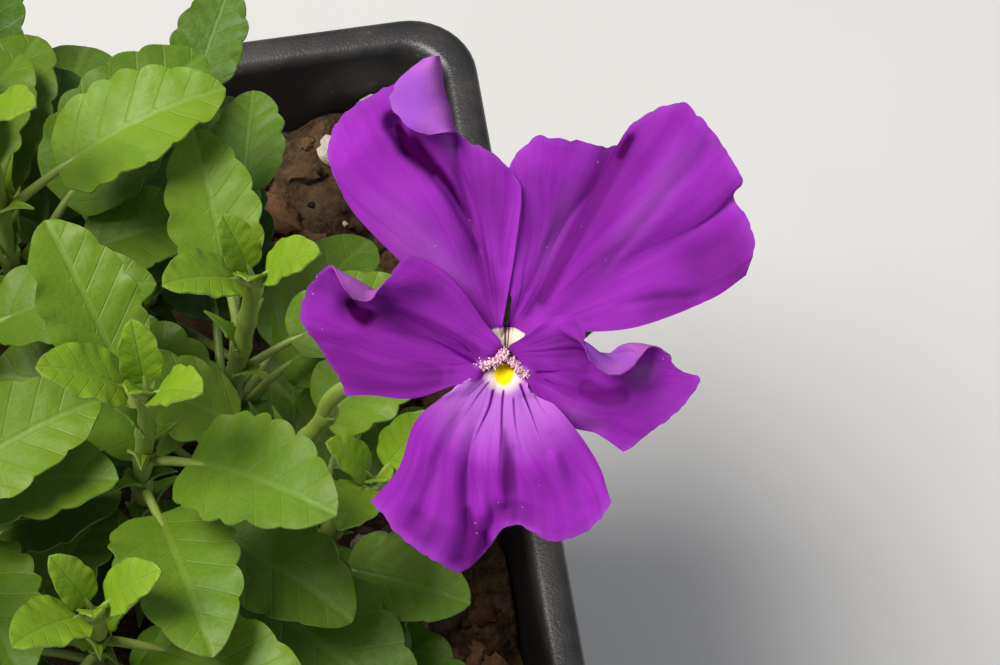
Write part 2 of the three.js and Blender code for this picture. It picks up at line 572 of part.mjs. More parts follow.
// A point of a leaf: along runs from its root on the stem to its tip, across from edge to edge.
function leafPoint(leaf, along, across, half) {
  const point = leaf.root.clone();
  const step = ((leaf.petiole + leaf.length) * along) / LEAF_STEPS;
  const heading = vec(Math.cos(leaf.heading), Math.sin(leaf.heading), 0);
  let pitch = leaf.pitch;
  for (let i = 0; i < LEAF_STEPS; i++) {
    pitch = leaf.pitch - leaf.droop * ((along * (i + 0.5)) / LEAF_STEPS) ** 1.5;
    point.addScaledVector(heading, step * Math.cos(pitch)).setZ(point.z + step * Math.sin(pitch));
  }
  const side = vec(-heading.y, heading.x, 0);
  const upward = heading.multiplyScalar(-Math.sin(pitch)).setZ(Math.cos(pitch));
  const rise = across * Math.tan(leaf.roll) + Math.abs(across) * Math.tan(LEAF_FOLD * RAD);
  return point.addScaledVector(side, across * half).addScaledVector(upward, rise * half);
}

const bladeStart = (leaf) => leaf.petiole / (leaf.petiole + leaf.length);

function leafSolid(leaf) {
  const start = bladeStart(leaf);
  const rows = [[0, PETIOLE_HALF]];
  for (const [share, width] of leaf.outline) rows.push([mix(start, 1, share), width * leaf.half]);
  const grid = rows.map(([along, half]) => [1, 0, -1].map((across) => leafPoint(leaf, along, across, half)));
  return solidOf(slab(grid, gridNormals(grid), BLADE));
}

// The points by which a leaf is kept clear of its neighbours.
const PROBE_ROWS = 10;
const PROBE_COLUMNS = [-1, -0.5, 0, 0.5, 1];
function leafProbes(leaf) {
  const start = bladeStart(leaf);
  const probes = [0.5, 0.8].map((share) => leafPoint(leaf, share * start, 0, 0));
  for (let row = 0; row <= PROBE_ROWS; row++) {
    const share = row / PROBE_ROWS;
    const narrowing = (1.9 * share - 0.75) ** 2 * (share > 0.4 ? 0.75 : 1.6);
    const half = leaf.half * Math.sqrt(Math.max(0.02, 1 - narrowing));
    for (const across of PROBE_COLUMNS) probes.push(leafPoint(leaf, mix(start, 1, share), across, half));
  }
  return probes;
}

const CLEAR = 2.6; // between the probes of two pieces
const HEAD_KEEP = { radius: 25, back: -14, front: 9 }; // room kept round a head, in its face frame
const BUD_KEEP = { radius: 8, back: -12, front: 10 };
const RIM_KEEP = 2.2;
const BARE_SIDE = 44; // no leaf reaches further to the right
const BARE_CORNER = [31, 34]; // seen by the viewer, the soil beyond this point is not covered

function overPotWall(point) {
  const out = Math.max(Math.abs(point.x), Math.abs(point.y));
  const inner = POT_WIDTH / 2 - RIM_PROUD - WALL - RIM_KEEP;
  return point.z < POT_HEIGHT + RIM_KEEP && out > inner && out < POT_WIDTH / 2 + RIM_KEEP;
}

// Whether the point stands before the bare corner of soil, as the viewer looks at it.
function hidesCorner(point) {
  const down = (point.z - SOIL_Z) / Math.tan(VIEW_ELEVATION * RAD);
  const x = point.x - down * Math.sin(VIEW_AZIMUTH * RAD);
  const y = point.y + down * Math.cos(VIEW_AZIMUTH * RAD);
  return x > BARE_CORNER[0] && y > BARE_CORNER[1];
}

function insideHead(point, { inverse, keep }) {
  const local = point.clone().applyMatrix4(inverse);
  return Math.hypot(local.x, local.y) < keep.radius && local.z > keep.back && local.z < keep.front;
}

function blocked(point, taken, heads) {
  if (point.z < SOIL_Z + 3 || point.x > BARE_SIDE || overPotWall(point) || hidesCorner(point)) return true;
  if (heads.some((head) => insideHead(point, head))) return true;
  return taken.some((other) => other.distanceToSquared(point) < CLEAR * CLEAR);
}

const LEAVES = 7;
const LEAF_SHARES = [0.22, 0.98]; // where on the stem the first and the last leaf stand
const TRIES = 24;
const SHRINK_BY = 0.013; // share by which it shrinks at each try
const TURN_BY = 24; // degrees by which a leaf turns aside when its place is taken
const RISE_BY = 7; // and by which it rises

// The leaf of a stem at one level, turned aside until it is clear of what already grows there.
function placeLeaf(stem, level, draw, taken, heads) {
  const share = level / (LEAVES - 1);
  const drawnSize = draw(0.9, 1.12);
  const [turn, rise, droop, roll] = [draw(-14, 14), draw(-7, 7), draw(-9, 9), draw(-8, 8)];
  for (let attempt = 0; attempt < TRIES; attempt++) {
    const aside = Math.ceil(attempt / 2) * (attempt % 2 ? 1 : -1) * TURN_BY;
    const size = drawnSize * (1 - attempt * SHRINK_BY);
    const leaf = {
      root: stemCurve(stem).getPoint(mix(...LEAF_SHARES, share)),
      heading: (stem.start + level * GOLDEN_ANGLE + turn + aside) * RAD,
      pitch: (mix(...LEAF_PITCH, share) + rise + (attempt % 3) * RISE_BY) * RAD,
      droop: (mix(...LEAF_DROOP, share) + droop) * RAD,
      roll: roll * RAD,
      petiole: mix(...PETIOLE_LENGTH, share) * size,
      length: mix(...LEAF_LENGTH, share) * size,
      half: mix(...LEAF_HALF, share) * size,
      outline: level < SMALL_LEVEL ? OUTLINE : SMALL_OUTLINE,
    };
    const probes = leafProbes(leaf);
    if (probes.some((point) => blocked(point, taken, heads))) continue;
    taken.push(...probes);
    return [leaf];
  }
  return [];
}

// ---- Assembly ----
const stems = [...FLOWERING, ...BUDDING, ...Array.from({ length: LEAFY_COUNT }, (_, i) => leafyStem(i))];
const heads = [...FLOWERING, ...BUDDING].map((stem, i) => {
  const room = i < FLOWERING.length ? HEAD_KEEP : BUD_KEEP;
  const keep = Object.fromEntries(Object.entries(room).map(([side, size]) => [side, size * stem.scale]));
  return { inverse: facing(stem).invert(), keep };
});
const taken = stems.flatMap((stem) => [
  ...stemCurve(stem).getPoints(40),
  ...(stem.centre ? stalkCurve(stem).getPoints(40) : []),
]);
const draws = stems.map((_, i) => drawer(i));
stems.forEach((stem, i) => (stem.start = draws[i](0, 360)));
const foliage = stems.map(() => []);
for (let level = 0; level < LEAVES; level++)
  stems.forEach((stem, i) => foliage[i].push(...placeLeaf(stem, level, draws[i], taken, heads)));

const names = [
  ...FLOWERING.map((_, i) => `flowering_stem_${i + 1}`),
  ...BUDDING.map((_, i) => `budding_stem_${i + 1}`),
  ...Array.from({ length: LEAFY_COUNT }, (_, i) => `leafy_stem_${String(i + 1).padStart(2, "0")}`),
];
const group = new THREE.Group();
function add(name, solid, material) {
  const mesh = new THREE.Mesh(geometryOf(solid), material);
  mesh.name = name;
  group.add(mesh);
}

add("planter", planter(), POT_GREY);
add("soil", soil(stems.map(({ base }) => [...base, STEM_RADIUS + 0.75])), SOIL_BROWN);
stems.forEach((stem, i) => {
  const parts = [stemSolid(stem), ...foliage[i].map(leafSolid)];
  if (stem.centre) parts.push(placed(calyx(i < FLOWERING.length ? OPEN_SEPAL : SHUT_SEPAL), stem));
  add(names[i], joined(parts), LEAF_GREEN);
});

const [photographed, ...others] = FLOWERING;
const petals = {
  upper_left: petalSolid(UPPER_LEFT).add(flap()),
  upper_right: petalSolid(UPPER_RIGHT),
  side_left: petalSolid(SIDE_LEFT),
  side_right: petalSolid(SIDE_RIGHT),
  lower: petalSolid(LOWER).add(spur()),
};
for (const [side, petal] of Object.entries(petals))
  add(`petal_${side}`, placed(petal, photographed), PETAL_VIOLET);
add("stamen_cone", placed(stamens(), photographed), STAMEN_CREAM);
others.forEach((stem, i) => add(`bloom_${i + 2}_petals`, placed(plainBloom(), stem), PETAL_VIOLET));
BUDDING.forEach((stem, i) => add(`bud_${i + 1}`, placed(budPetals(), stem), PETAL_VIOLET));

export default group;
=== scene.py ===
"""Potted violet viola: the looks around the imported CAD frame, in the row frame (+Z up).

Shapes are worked out in millimetres, as in the CAD source, and written to Blender in metres.
"""

import math
from itertools import product
from types import SimpleNamespace

import bpy
import numpy as np
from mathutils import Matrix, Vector


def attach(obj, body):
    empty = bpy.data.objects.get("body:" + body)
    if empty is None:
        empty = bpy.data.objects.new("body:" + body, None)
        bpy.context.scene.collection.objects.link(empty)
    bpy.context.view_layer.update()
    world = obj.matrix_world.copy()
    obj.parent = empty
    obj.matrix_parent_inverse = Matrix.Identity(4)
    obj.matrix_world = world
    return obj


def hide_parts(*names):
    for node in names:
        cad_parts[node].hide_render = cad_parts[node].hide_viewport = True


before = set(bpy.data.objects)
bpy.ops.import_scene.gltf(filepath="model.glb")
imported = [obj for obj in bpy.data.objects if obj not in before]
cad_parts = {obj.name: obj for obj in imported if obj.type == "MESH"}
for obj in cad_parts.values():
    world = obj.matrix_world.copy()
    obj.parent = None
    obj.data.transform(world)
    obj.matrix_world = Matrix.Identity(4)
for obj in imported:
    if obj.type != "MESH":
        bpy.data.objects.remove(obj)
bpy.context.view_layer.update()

MM = 0.001
RAD = math.pi / 180
rng = np.random.default_rng(20)


def mix(a, b, share):
    return a + (b - a) * share


# ---- Dimensions shared with the CAD source, in millimetres ----
POT_WIDTH, POT_HEIGHT, FOOT_WIDTH = 110, 98, 78
WALL, FLOOR, RIM_HEIGHT, RIM_PROUD = 1.8, 3, 11, 2.4
SHOULDER_Z, SHOULDER = 62, 0.9
CORNER_TOP, CORNER_FOOT = 8, 6
DRAIN_RADIUS, DRAIN_OFFSET = 4, 23
GROOVE_WIDTH, GROOVE_DEPTH = 6, 1.4
GAP = 0.35
SOIL_Z = 88
STEM_RADIUS, STALK_RADIUS = 1.1, 0.85
VIEW_AZIMUTH, VIEW_ELEVATION = -9, 62
BLOOM_CENTRE = (45.4, -33, 178)


def head(base, top, centre, azimuth, elevation, scale):
    """A stem that carries a bloom or bud: where it stands and leans, and where its head looks."""
    return SimpleNamespace(
        base=base, top=top, centre=centre, azimuth=azimuth, elevation=elevation, scale=scale,
    )


FLOWERING = [
    head((20, -8), (31, -12, 132), BLOOM_CENTRE, VIEW_AZIMUTH, VIEW_ELEVATION, 1),
    head((-9, -8), (-17, -11, 136), (-35, -27, 167), -48, 42, 0.78),
    head((-9, 14), (-16, 24, 130), (-24, 38, 161), 150, 48, 0.7),
]
BUDDING = [
    head((-4, -20), (-14, -36, 122), (-20, -49, 146), -30, 12, 0.8),
    head((-22, 2), (-38, 4, 126), (-49, 5, 151), -100, 20, 0.85),
    head((-2, 5), (-11, 4, 140), (-22, 3, 172), -80, 35, 0.7),
]
STALK_END, STALK_REACH, STALK_LIFT = -8, 20, 12
LEAFY_COUNT, GOLDEN_ANGLE, SPIRAL_START = 11, 137.508, 312
BASE_SPREAD, HEAD_SPREAD, HEAD_HEIGHT = (14, 34), (20, 44), (146, 122)
OPEN_CORNER, OPEN_LOW = 45, 16
STEM_RISE = 18


# ---- Points, curves and closed shapes ----
def unit(vectors):
    return vectors / np.maximum(np.linalg.norm(vectors, axis=-1, keepdims=True), 1e-12)


def catmull(points, shares):
    """Points of the even Catmull-Rom curve through points, at shares of its steps."""
    points = np.asarray(points, float)
    padded = np.concatenate([2 * points[:1] - points[1:2], points, 2 * points[-1:] - points[-2:-1]])
    place = np.asarray(shares, float) * (len(points) - 1)
    first = np.minimum(place.astype(int), len(points) - 2)
    t = (place - first).reshape((-1,) + (1,) * (points.ndim - 1))
    a, b, c, d = (padded[first + k] for k in range(4))
    return b + 0.5 * t * (c - a + t * (2 * a - 5 * b + 4 * c - d + t * (3 * (b - c) + d - a)))


def bezier(controls, shares):
    a, b, c, d = (np.asarray(point, float) for point in controls)
    t = np.atleast_1d(shares).astype(float)[:, None]
    return (1 - t) ** 3 * a + 3 * (1 - t) ** 2 * t * b + 3 * (1 - t) * t**2 * c + t**3 * d


UPWARD = np.array([0, 0, 1.0])


def turns(sides):
    """Even angles round a circle."""
    return np.linspace(0, 2 * math.pi, sides, endpoint=False)


def circle(turn, radius, z):
    return np.stack([radius * np.cos(turn), radius * np.sin(turn), np.full(len(turn), float(z))], -1)


def spoke(turn, z=0.0):
    """The level vector that points to an angle, raised by z."""
    return np.array([math.cos(turn), math.sin(turn), z])


def numbered(rows, columns):
    """The numbers of a grid's points."""
    return np.arange(rows * columns).reshape(rows, columns)


def quads(at):
    """The faces between the neighbouring points of a grid."""
    return np.stack([at[:-1, :-1], at[:-1, 1:], at[1:, 1:], at[1:, :-1]], -1).reshape(-1, 4)


def margin_of(at):
    """The points round a grid's margin, in order."""
    return np.concatenate([at[0, :-1], at[:-1, -1], at[-1, :0:-1], at[:0:-1, 0]])


def grid_normals(grid):
    return unit(np.cross(np.gradient(grid, axis=1), np.gradient(grid, axis=0)))


def volume_of(points, blocks):
    """Six times the volume that faces enclose; below zero if they look inwards."""
    total = 0.0
    for faces in blocks:
        for k in range(1, faces.shape[1] - 1):
            spans = np.cross(points[faces[:, k]], points[faces[:, k + 1]])
            total += np.einsum("ij,ij->", points[faces[:, 0]], spans)
    return total


def add_object(name, data):
    made = bpy.data.objects.new(name, data)
    bpy.context.scene.collection.objects.link(made)
    return made


class Shape:
    """One piece's points, faces and point values, gathered part by part."""

    def __init__(self, *values):
        self.points, self.blocks, self.slots = [], [], []
        self.values = {name: [] for name in values}
        self.count = 0

    def add(self, points, blocks, slot=0, **values):
        """Adds a closed part; its faces are turned to look outwards."""
        points = np.asarray(points, float).reshape(-1, 3)
        turned = volume_of(points - points.mean(0), blocks) < 0
        for faces in blocks:
            self.blocks.append((faces[:, ::-1] if turned else faces) + self.count)
            self.slots.append(np.full(len(faces), slot))
        self.points.append(points)
        self.count += len(points)
        for name, parts in self.values.items():
            value = np.asarray(values.get(name, 0.0), float).ravel()
            parts.append(np.broadcast_to(value, (len(points),)))

    def add_sheet(self, grid, thickness, slot=0, **values):
        """Adds a thin closed sheet round a grid of points; its values go by face, row and column."""
        points, blocks = sheet(grid, thickness)
        size = (2, *grid.shape[:2])
        values = {name: np.broadcast_to(value, size) for name, value in values.items()}
        self.add(points, blocks, slot, **values)

    def piece(self, name, finishes, slot, *nodes, sharp=50):
        """Makes the Blender object, which rides on the root body and stands for the CAD nodes."""
        mesh = bpy.data.meshes.new(name)
        faces = [face for block in self.blocks for face in block.tolist()]
        mesh.from_pydata(np.concatenate(self.points) * MM, [], faces)
        for key, parts in self.values.items():
            layer = mesh.attributes.new(key, "FLOAT", "POINT")
            layer.data.foreach_set("value", np.concatenate(parts).astype("f4"))
        for finish in finishes:
            mesh.materials.append(finish)
        mesh.polygons.foreach_set("material_index", np.concatenate(self.slots).astype("i4"))
        mesh.shade_smooth()
        mesh.set_sharp_from_angle(angle=sharp * RAD)
        made = add_object(name, mesh)
        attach(made, "root")
        if nodes:
            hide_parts(*nodes)
        return made


BELOW = np.array([0.0, 1.0])[:, None, None]  # a value that is 1 on a sheet's lower face only
ABOVE = 1 - BELOW


def sheet(grid, thickness):
    """A thin closed sheet round a grid of points: its points, the top face's first, and its faces."""
    rows, columns = grid.shape[:2]
    half = grid_normals(grid) * np.broadcast_to(thickness, (rows, columns))[..., None] / 2
    points = np.concatenate([(grid + half).reshape(-1, 3), (grid - half).reshape(-1, 3)])
    at = numbered(rows, columns)
    top, rim = quads(at), margin_of(at)
    after, under = np.roll(rim, -1), rows * columns
    side = np.stack([rim + under, after + under, after, rim], -1)
    return points, [np.vstack([top, top[:, ::-1] + under, side])]


def loft(rings):
    """A closed skin through rings of points, with one face over each end."""
    rings = np.asarray(rings, float)
    at = numbered(*rings.shape[:2])
    after = np.roll(at, -1, axis=1)
    skin = np.stack([at[:-1], after[:-1], after[1:], at[1:]], -1).reshape(-1, 4)
    return rings.reshape(-1, 3), [skin, at[:1, ::-1], at[-1:]]


def tube(path, radii, sides=10, ribs=0.0):
    """A closed tube along a path; ribs is how far its three ridges stand out, in radii."""
    path = np.asarray(path, float)
    forward = unit(np.gradient(path, axis=0))
    side = np.cross(forward[0], [0.3, 1, 0.2])
    turn = turns(sides)
    bulge = 1 + ribs * np.cos(3 * turn)
    rings = []
    for point, ahead, radius in zip(path, forward, np.broadcast_to(radii, len(path))):
        side = unit(side - ahead * (side @ ahead))
        other = np.cross(ahead, side)
        ring = np.outer(np.cos(turn) * bulge, side) + np.outer(np.sin(turn) * bulge, other)
        rings.append(point + radius * ring)
    return loft(rings)


def blunt(shares, power=2.5):
    """How far a blunt tube's radius has closed towards its end, at shares of its length."""
    return np.maximum(0.04, (1 - np.asarray(shares) ** power)) ** 0.5


def from_line(x, y, line):
    """For each point: its distance to a line and its share along the line."""
    line = catmull(line, np.linspace(0, 1, 7 * len(line)))
    distance, share = np.full(x.shape, 1e9), np.zeros(x.shape)
    for i in range(len(line) - 1):
        step = line[i + 1] - line[i]
        u = np.clip(((x - line[i, 0]) * step[0] + (y - line[i, 1]) * step[1]) / (step @ step), 0, 1)
        dx, dy = x - line[i, 0] - u * step[0], y - line[i, 1] - u * step[1]
        far = np.hypot(dx, dy)
        nearer = far < distance
        distance = np.where(nearer, far, distance)
        share = np.where(nearer, (i + u) / (len(line) - 1), share)
    return distance, share


LATTICE = 64  # cells before the noise repeats


def smooth_noise(x, y, cell, seed):
    """Even noise from -1 to 1 over a plane, with bumps about as wide as cell."""
    lattice = np.random.default_rng(seed).uniform(-1, 1, (LATTICE, LATTICE))
    u, v = np.asarray(x) / cell, np.asarray(y) / cell
    i, j = np.floor(u).astype(int), np.floor(v).astype(int)
    fu, fv = u - i, v - j
    fu, fv = fu * fu * (3 - 2 * fu), fv * fv * (3 - 2 * fv)
    at = lambda a, b: lattice[(i + a) % LATTICE, (j + b) % LATTICE]
    return mix(mix(at(0, 0), at(1, 0), fu), mix(at(0, 1), at(1, 1), fu), fv)


# ---- Finishes ----
def colour(red, green, blue):
    """A colour given as the eye sees it, 0 to 255, in the renderer's even scale."""
    even = [((c / 255 + 0.055) / 1.055) ** 2.4 if c > 10 else c / 3295 for c in (red, green, blue)]
    return (*even, 1)


class Finish:
    """A material under construction: each call adds a node and returns the socket it gives."""

    def __init__(self, name):
        self.material = bpy.data.materials.new(name)
        self.material.use_nodes = True
        self.tree = self.material.node_tree
        self.tree.nodes.clear()

    def node(self, kind, inputs, output=0, **settings):
        made = self.tree.nodes.new("ShaderNode" + kind)
        for key, value in settings.items():
            setattr(made, key, value)
        for key, value in inputs.items():
            if isinstance(value, bpy.types.NodeSocket):
                self.tree.links.new(value, made.inputs[key])
            else:
                made.inputs[key].default_value = value
        return made.outputs[output]

    def value(self, name):
        return self.node("Attribute", {}, "Fac", attribute_name=name)

    def math(self, operation, *values):
        return self.node("Math", dict(enumerate(values)), operation=operation)

    def span(self, value, low, high, to_low=0.0, to_high=1.0):
        """value, eased from to_low where it is low to to_high where it is high."""
        inputs = {0: value, 1: low, 2: high, 3: to_low, 4: to_high}
        return self.node("MapRange", inputs, interpolation_type="SMOOTHSTEP")

    def blend(self, share, a, b):
        return self.node("Mix", {0: share, 6: a, 7: b}, 2, data_type="RGBA")

    def place(self, *scale):
        """The object's own coordinates, in millimetres times scale."""
        scale = [s / MM for s in (scale or (1, 1, 1))]
        where = self.node("TexCoord", {}, "Object")
        return self.node("Mapping", {"Vector": where, "Scale": scale})

    def noise(self, where, size, detail=3.0, roughness=0.55, distortion=0.0):
        inputs = {"Vector": where, "Scale": 1 / size, "Detail": detail}
        inputs |= {"Roughness": roughness, "Distortion": distortion}
        return self.node("TexNoise", inputs)

    def cells(self, where, size, feature="F1"):
        return self.node("TexVoronoi", {"Vector": where, "Scale": 1 / size}, "Distance", feature=feature)

    def bump(self, height, distance, strength=1.0, under=None):
        """distance is the height in millimetres that a height of 1 stands for."""
        inputs = {"Height": height, "Distance": distance * MM, "Strength": strength}
        if under:
            inputs["Normal"] = under
        return self.node("Bump", inputs)

    def surface(self, base, roughness, normal, through=None, through_share=0.0, **more):
        """The finished material; through is the colour of the light that passes a thin blade."""
        inputs = {"Base Color": base, "Roughness": roughness, "Normal": normal}
        inputs |= {name.replace("_", " "): value for name, value in more.items()}
        shader = self.node("BsdfPrincipled", inputs)
        if through:
            passing = self.node("BsdfTranslucent", {"Color": through, "Normal": normal})
            shader = self.node("MixShader", {0: through_share, 1: shader, 2: passing})
        output = self.tree.nodes.new("ShaderNodeOutputMaterial")
        self.tree.links.new(shader, output.inputs["Surface"])
        return self.material


def petal_finish():
    """Violet velvet with soft streaks; the throat, eye and nectar guides come with the points, and so do its
    painted shade and painted light.
    """
    f = Finish("violet_petal")
    along, across = f.value("along"), f.value("across")
    fine = {0: f.math("MULTIPLY", across, 38.0), 1: f.math("MULTIPLY", along, 2.4)}
    where = f.node("CombineXYZ", fine)
    streaks = f.noise(where, 1.0, 2.0, 0.55, 0.3)
    broad = f.node("VectorMath", {0: where, 1: (0.22, 0.4, 1)}, operation="MULTIPLY")
    bands = f.noise(broad, 1.0, 2.0)
    patches = f.noise(f.place(), 6.0, 2.0)
    lit = f.blend(f.span(streaks, 0.3, 0.75), colour(145, 40, 166), colour(158, 50, 180))
    lit = f.blend(f.span(bands, 0.35, 0.7, 0.0, 0.6), lit, colour(166, 60, 188))
    lit = f.blend(f.span(patches, 0.35, 0.7, 0.0, 0.4), lit, colour(140, 38, 164))
    lit = f.blend(f.span(along, 0.94, 1.0, 0.0, 0.3), lit, colour(168, 82, 196))
    # Paler where the points say: the petals' own pale throat rims and beard ground, and painted light on lit
    # shoulders and on shaded spots.
    lit = f.blend(f.value("pale"), lit, colour(206, 142, 224))
    behind = f.blend(f.span(patches, 0.35, 0.65), colour(154, 82, 190), colour(178, 98, 186))
    lit = f.blend(f.value("back"), lit, behind)
    # Painted shade: dark maroon where the points' value is high, in grooves, valleys and under curls and the
    # flap; the side petals' own darker tone comes by the same value.
    lit = f.blend(f.value("fold"), lit, colour(58, 0, 62))
    lit = f.blend(f.value("cream"), lit, colour(255, 242, 214))
    line = f.blend(f.value("cream"), colour(88, 4, 112), colour(128, 44, 54))
    lit = f.blend(f.value("guide"), lit, line)
    lit = f.blend(f.value("yellow"), lit, colour(255, 232, 14))
    dots = f.span(f.cells(f.place(), 1.5), 0.03, 0.06, 1.0, 0.0)
    specks = f.math("MULTIPLY", dots, f.span(patches, 0.5, 0.6))
    lit = f.blend(f.math("MULTIPLY", specks, 0.6), lit, colour(236, 196, 240))
    skin = f.bump(f.cells(f.place(), 0.16), 0.05, 0.35)
    normal = f.bump(streaks, 0.10, 0.3, skin)
    return f.surface(lit, 0.85, normal, lit, 0.2, IOR=1.2, Specular_IOR_Level=0.1)


def leaf_finish():
    """A fresh green blade: midrib, side veins and the net of fine veins between them."""
    f = Finish("viola_leaf")
    tone, across = f.value("tone"), f.value("across")
    side_vein = f.span(f.math("PINGPONG", f.value("lateral"), 0.5), 0.0, 0.07, 1.0, 0.0)
    midrib = f.span(f.math("ABSOLUTE", across), 0.02, 0.1, 1.0, 0.0)
    vein = f.math("MAXIMUM", f.math("MULTIPLY", side_vein, 0.7), midrib)
    net = f.cells(f.place(), 1.1, "DISTANCE_TO_EDGE")
    net_line = f.span(net, 0.0, 0.12, 1.0, 0.0)
    mottle = f.noise(f.place(), 5.0, 3.0)
    base = f.blend(tone, colour(44, 78, 13), colour(136, 170, 32))
    base = f.blend(f.span(mottle, 0.3, 0.75, 0.0, 0.4), base, colour(88, 122, 24))
    base = f.blend(f.math("MULTIPLY", net_line, 0.16), base, colour(128, 158, 66))
    base = f.blend(f.math("MULTIPLY", vein, 0.22), base, colour(140, 168, 72))
    base = f.blend(f.value("under"), base, colour(124, 150, 84))
    height = f.math("SUBTRACT", f.math("MULTIPLY", net, 0.5), f.math("MULTIPLY", vein, 0.6))
    grain = f.bump(f.noise(f.place(), 0.25, 2.0), 0.04, 0.5)
    normal = f.bump(height, 0.2, 0.6, grain)
    rough = f.span(mottle, 0.3, 0.7, 0.46, 0.6)
    through = f.blend(tone, colour(110, 160, 20), colour(176, 200, 40))
    return f.surface(base, rough, normal, through, 0.3, Specular_IOR_Level=0.35)


def stem_finish():
    """Green stems and petioles, streaked along, flushed with purple where tint is high."""
    f = Finish("green_stem")
    streaks = f.noise(f.place(1, 1, 0.12), 0.5, 3.0)
    base = f.blend(streaks, colour(88, 122, 34), colour(140, 164, 66))
    base = f.blend(f.math("MULTIPLY", f.value("tone"), 0.6), base, colour(160, 176, 76))
    base = f.blend(f.math("MULTIPLY", f.value("tint"), 0.55), base, colour(104, 60, 84))
    normal = f.bump(streaks, 0.12, 0.6)
    return f.surface(base, 0.45, normal, Subsurface_Weight=0.15, Subsurface_Scale=0.001)


def plastic_finish():
    """Grey-black polypropylene: moulding grain, scuffs, settled dust and dried soil splashes."""
    f = Finish("pot_plastic")
    grain = f.noise(f.place(), 0.35, 3.0)
    scuff = f.noise(f.place(0.2, 0.2, 1.4), 3.0, 5.0, 0.7)
    dust = f.noise(f.place(), 9.0, 6.0, 0.62)
    splash = f.noise(f.place(), 2.2, 5.0, 0.7)
    up = f.node("SeparateXYZ", {0: f.node("NewGeometry", {}, "Normal")}, 2)
    base = f.blend(f.span(scuff, 0.5, 0.75, 0.0, 0.5), colour(21, 21, 23), colour(35, 34, 36))
    settled = f.math("MULTIPLY", f.span(up, 0.1, 0.9), f.span(dust, 0.35, 0.65, 0.1, 0.65))
    base = f.blend(settled, base, colour(66, 61, 55))
    splashed = f.span(splash, 0.62, 0.72, 0.0, 0.55)
    base = f.blend(splashed, base, colour(86, 66, 46))
    rough = f.span(f.math("ADD", f.math("MULTIPLY", dust, 0.6), splashed), 0.3, 0.9, 0.36, 0.72)
    normal = f.bump(splash, 0.15, 0.25, f.bump(grain, 0.06, 0.7))
    return f.surface(base, rough, normal, Specular_IOR_Level=0.5)


def soil_finish():
    """Peat and bark compost: dark crumbs, paler where their bump stands higher, with broad paler dry
    patches.
    """
    f = Finish("potting_soil")
    crumbs = f.noise(f.place(), 1.4, 6.0, 0.7)
    grit = f.cells(f.place(), 0.7)
    dry = f.noise(f.place(), 14.0, 3.0)
    base = f.blend(f.span(crumbs, 0.3, 0.7), colour(38, 26, 16), colour(92, 68, 44))
    base = f.blend(f.span(dry, 0.45, 0.7, 0.0, 0.4), base, colour(124, 100, 72))
    height = f.math("ADD", crumbs, f.math("MULTIPLY", grit, -0.5))
    return f.surface(base, 0.95, f.bump(height, 0.6, 0.9), Specular_IOR_Level=0.2)


def crumb_finish(name, dark, pale, size):
    """Loose bits in the compost, each of its own tone."""
    f = Finish(name)
    speckle = f.noise(f.place(), size, 4.0, 0.65)
    share = f.math("ADD", f.math("MULTIPLY", speckle, 0.6), f.math("MULTIPLY", f.value("tone"), 0.4))
    base = f.blend(f.span(share, 0.25, 0.75), dark, pale)
    return f.surface(base, 0.9, f.bump(speckle, 0.3, 0.7), Specular_IOR_Level=0.25)


def fine_finish(name, dark, pale, size, roughness, through_share=0.0):
    """A small part's finish: two near colours in fine mottling."""
    f = Finish(name)
    mottle = f.noise(f.place(), size, 3.0)
    base = f.blend(f.span(mottle, 0.35, 0.65), dark, pale)
    through = base if through_share else None
    return f.surface(base, roughness, f.bump(mottle, 0.06, 0.6), through, through_share)


PETAL = petal_finish()
LEAF = leaf_finish()
STEM = stem_finish()
SEPAL = fine_finish("sepal", colour(82, 116, 34), colour(124, 152, 62), 0.8, 0.5, 0.2)
BUD_PETAL = fine_finish("bud_petal", colour(86, 22, 118), colour(132, 52, 164), 1.0, 0.5, 0.1)
SPUR = fine_finish("spur", colour(120, 58, 150), colour(158, 96, 180), 0.9, 0.5, 0.1)
HAIR = fine_finish("beard_hair", colour(236, 186, 206), colour(250, 222, 228), 0.3, 0.7, 0.25)
ANTHER = fine_finish("anther", colour(226, 198, 120), colour(246, 230, 170), 0.4, 0.6)
ANTHER_TIP = fine_finish("anther_tip", colour(196, 104, 22), colour(226, 140, 40), 0.3, 0.6)
STIGMA = fine_finish("stigma", colour(196, 204, 110), colour(226, 226, 150), 0.4, 0.4)
PLASTIC = plastic_finish()
SOIL = soil_finish()
CRUMB = crumb_finish("compost_crumb", colour(34, 22, 14), colour(104, 78, 50), 0.6)
PERLITE = crumb_finish("perlite", colour(150, 140, 118), colour(212, 204, 186), 0.5)
BARK = crumb_finish("bark_chip", colour(62, 38, 22), colour(134, 96, 62), 0.7)

# ---- Planter ----
CORNER_STEPS = 10
POT_SHARP = 40  # edges sharper than this many degrees stay hard


def rounded_square(half, radius, z):
    turn = np.linspace(0, math.pi / 2, CORNER_STEPS + 1)
    arc = half - radius + radius * np.stack([np.cos(turn), np.sin(turn)], -1)
    x, y = arc[:, 0], arc[:, 1]
    ring = np.concatenate([np.stack(p, -1) for p in [(x, y), (-y, x), (-x, -y), (y, -x)]])
    return np.column_stack([ring, np.full(len(ring), float(z))])


def outer_half(z):
    plain = mix(FOOT_WIDTH / 2, POT_WIDTH / 2 - RIM_PROUD, z / POT_HEIGHT)
    return plain - SHOULDER if z < SHOULDER_Z else plain


def corner_at(z):
    return mix(CORNER_FOOT, CORNER_TOP, z / POT_HEIGHT)


def wall_ring(z, inset=0.0):
    return rounded_square(outer_half(z) - inset, corner_at(z) - inset, z)


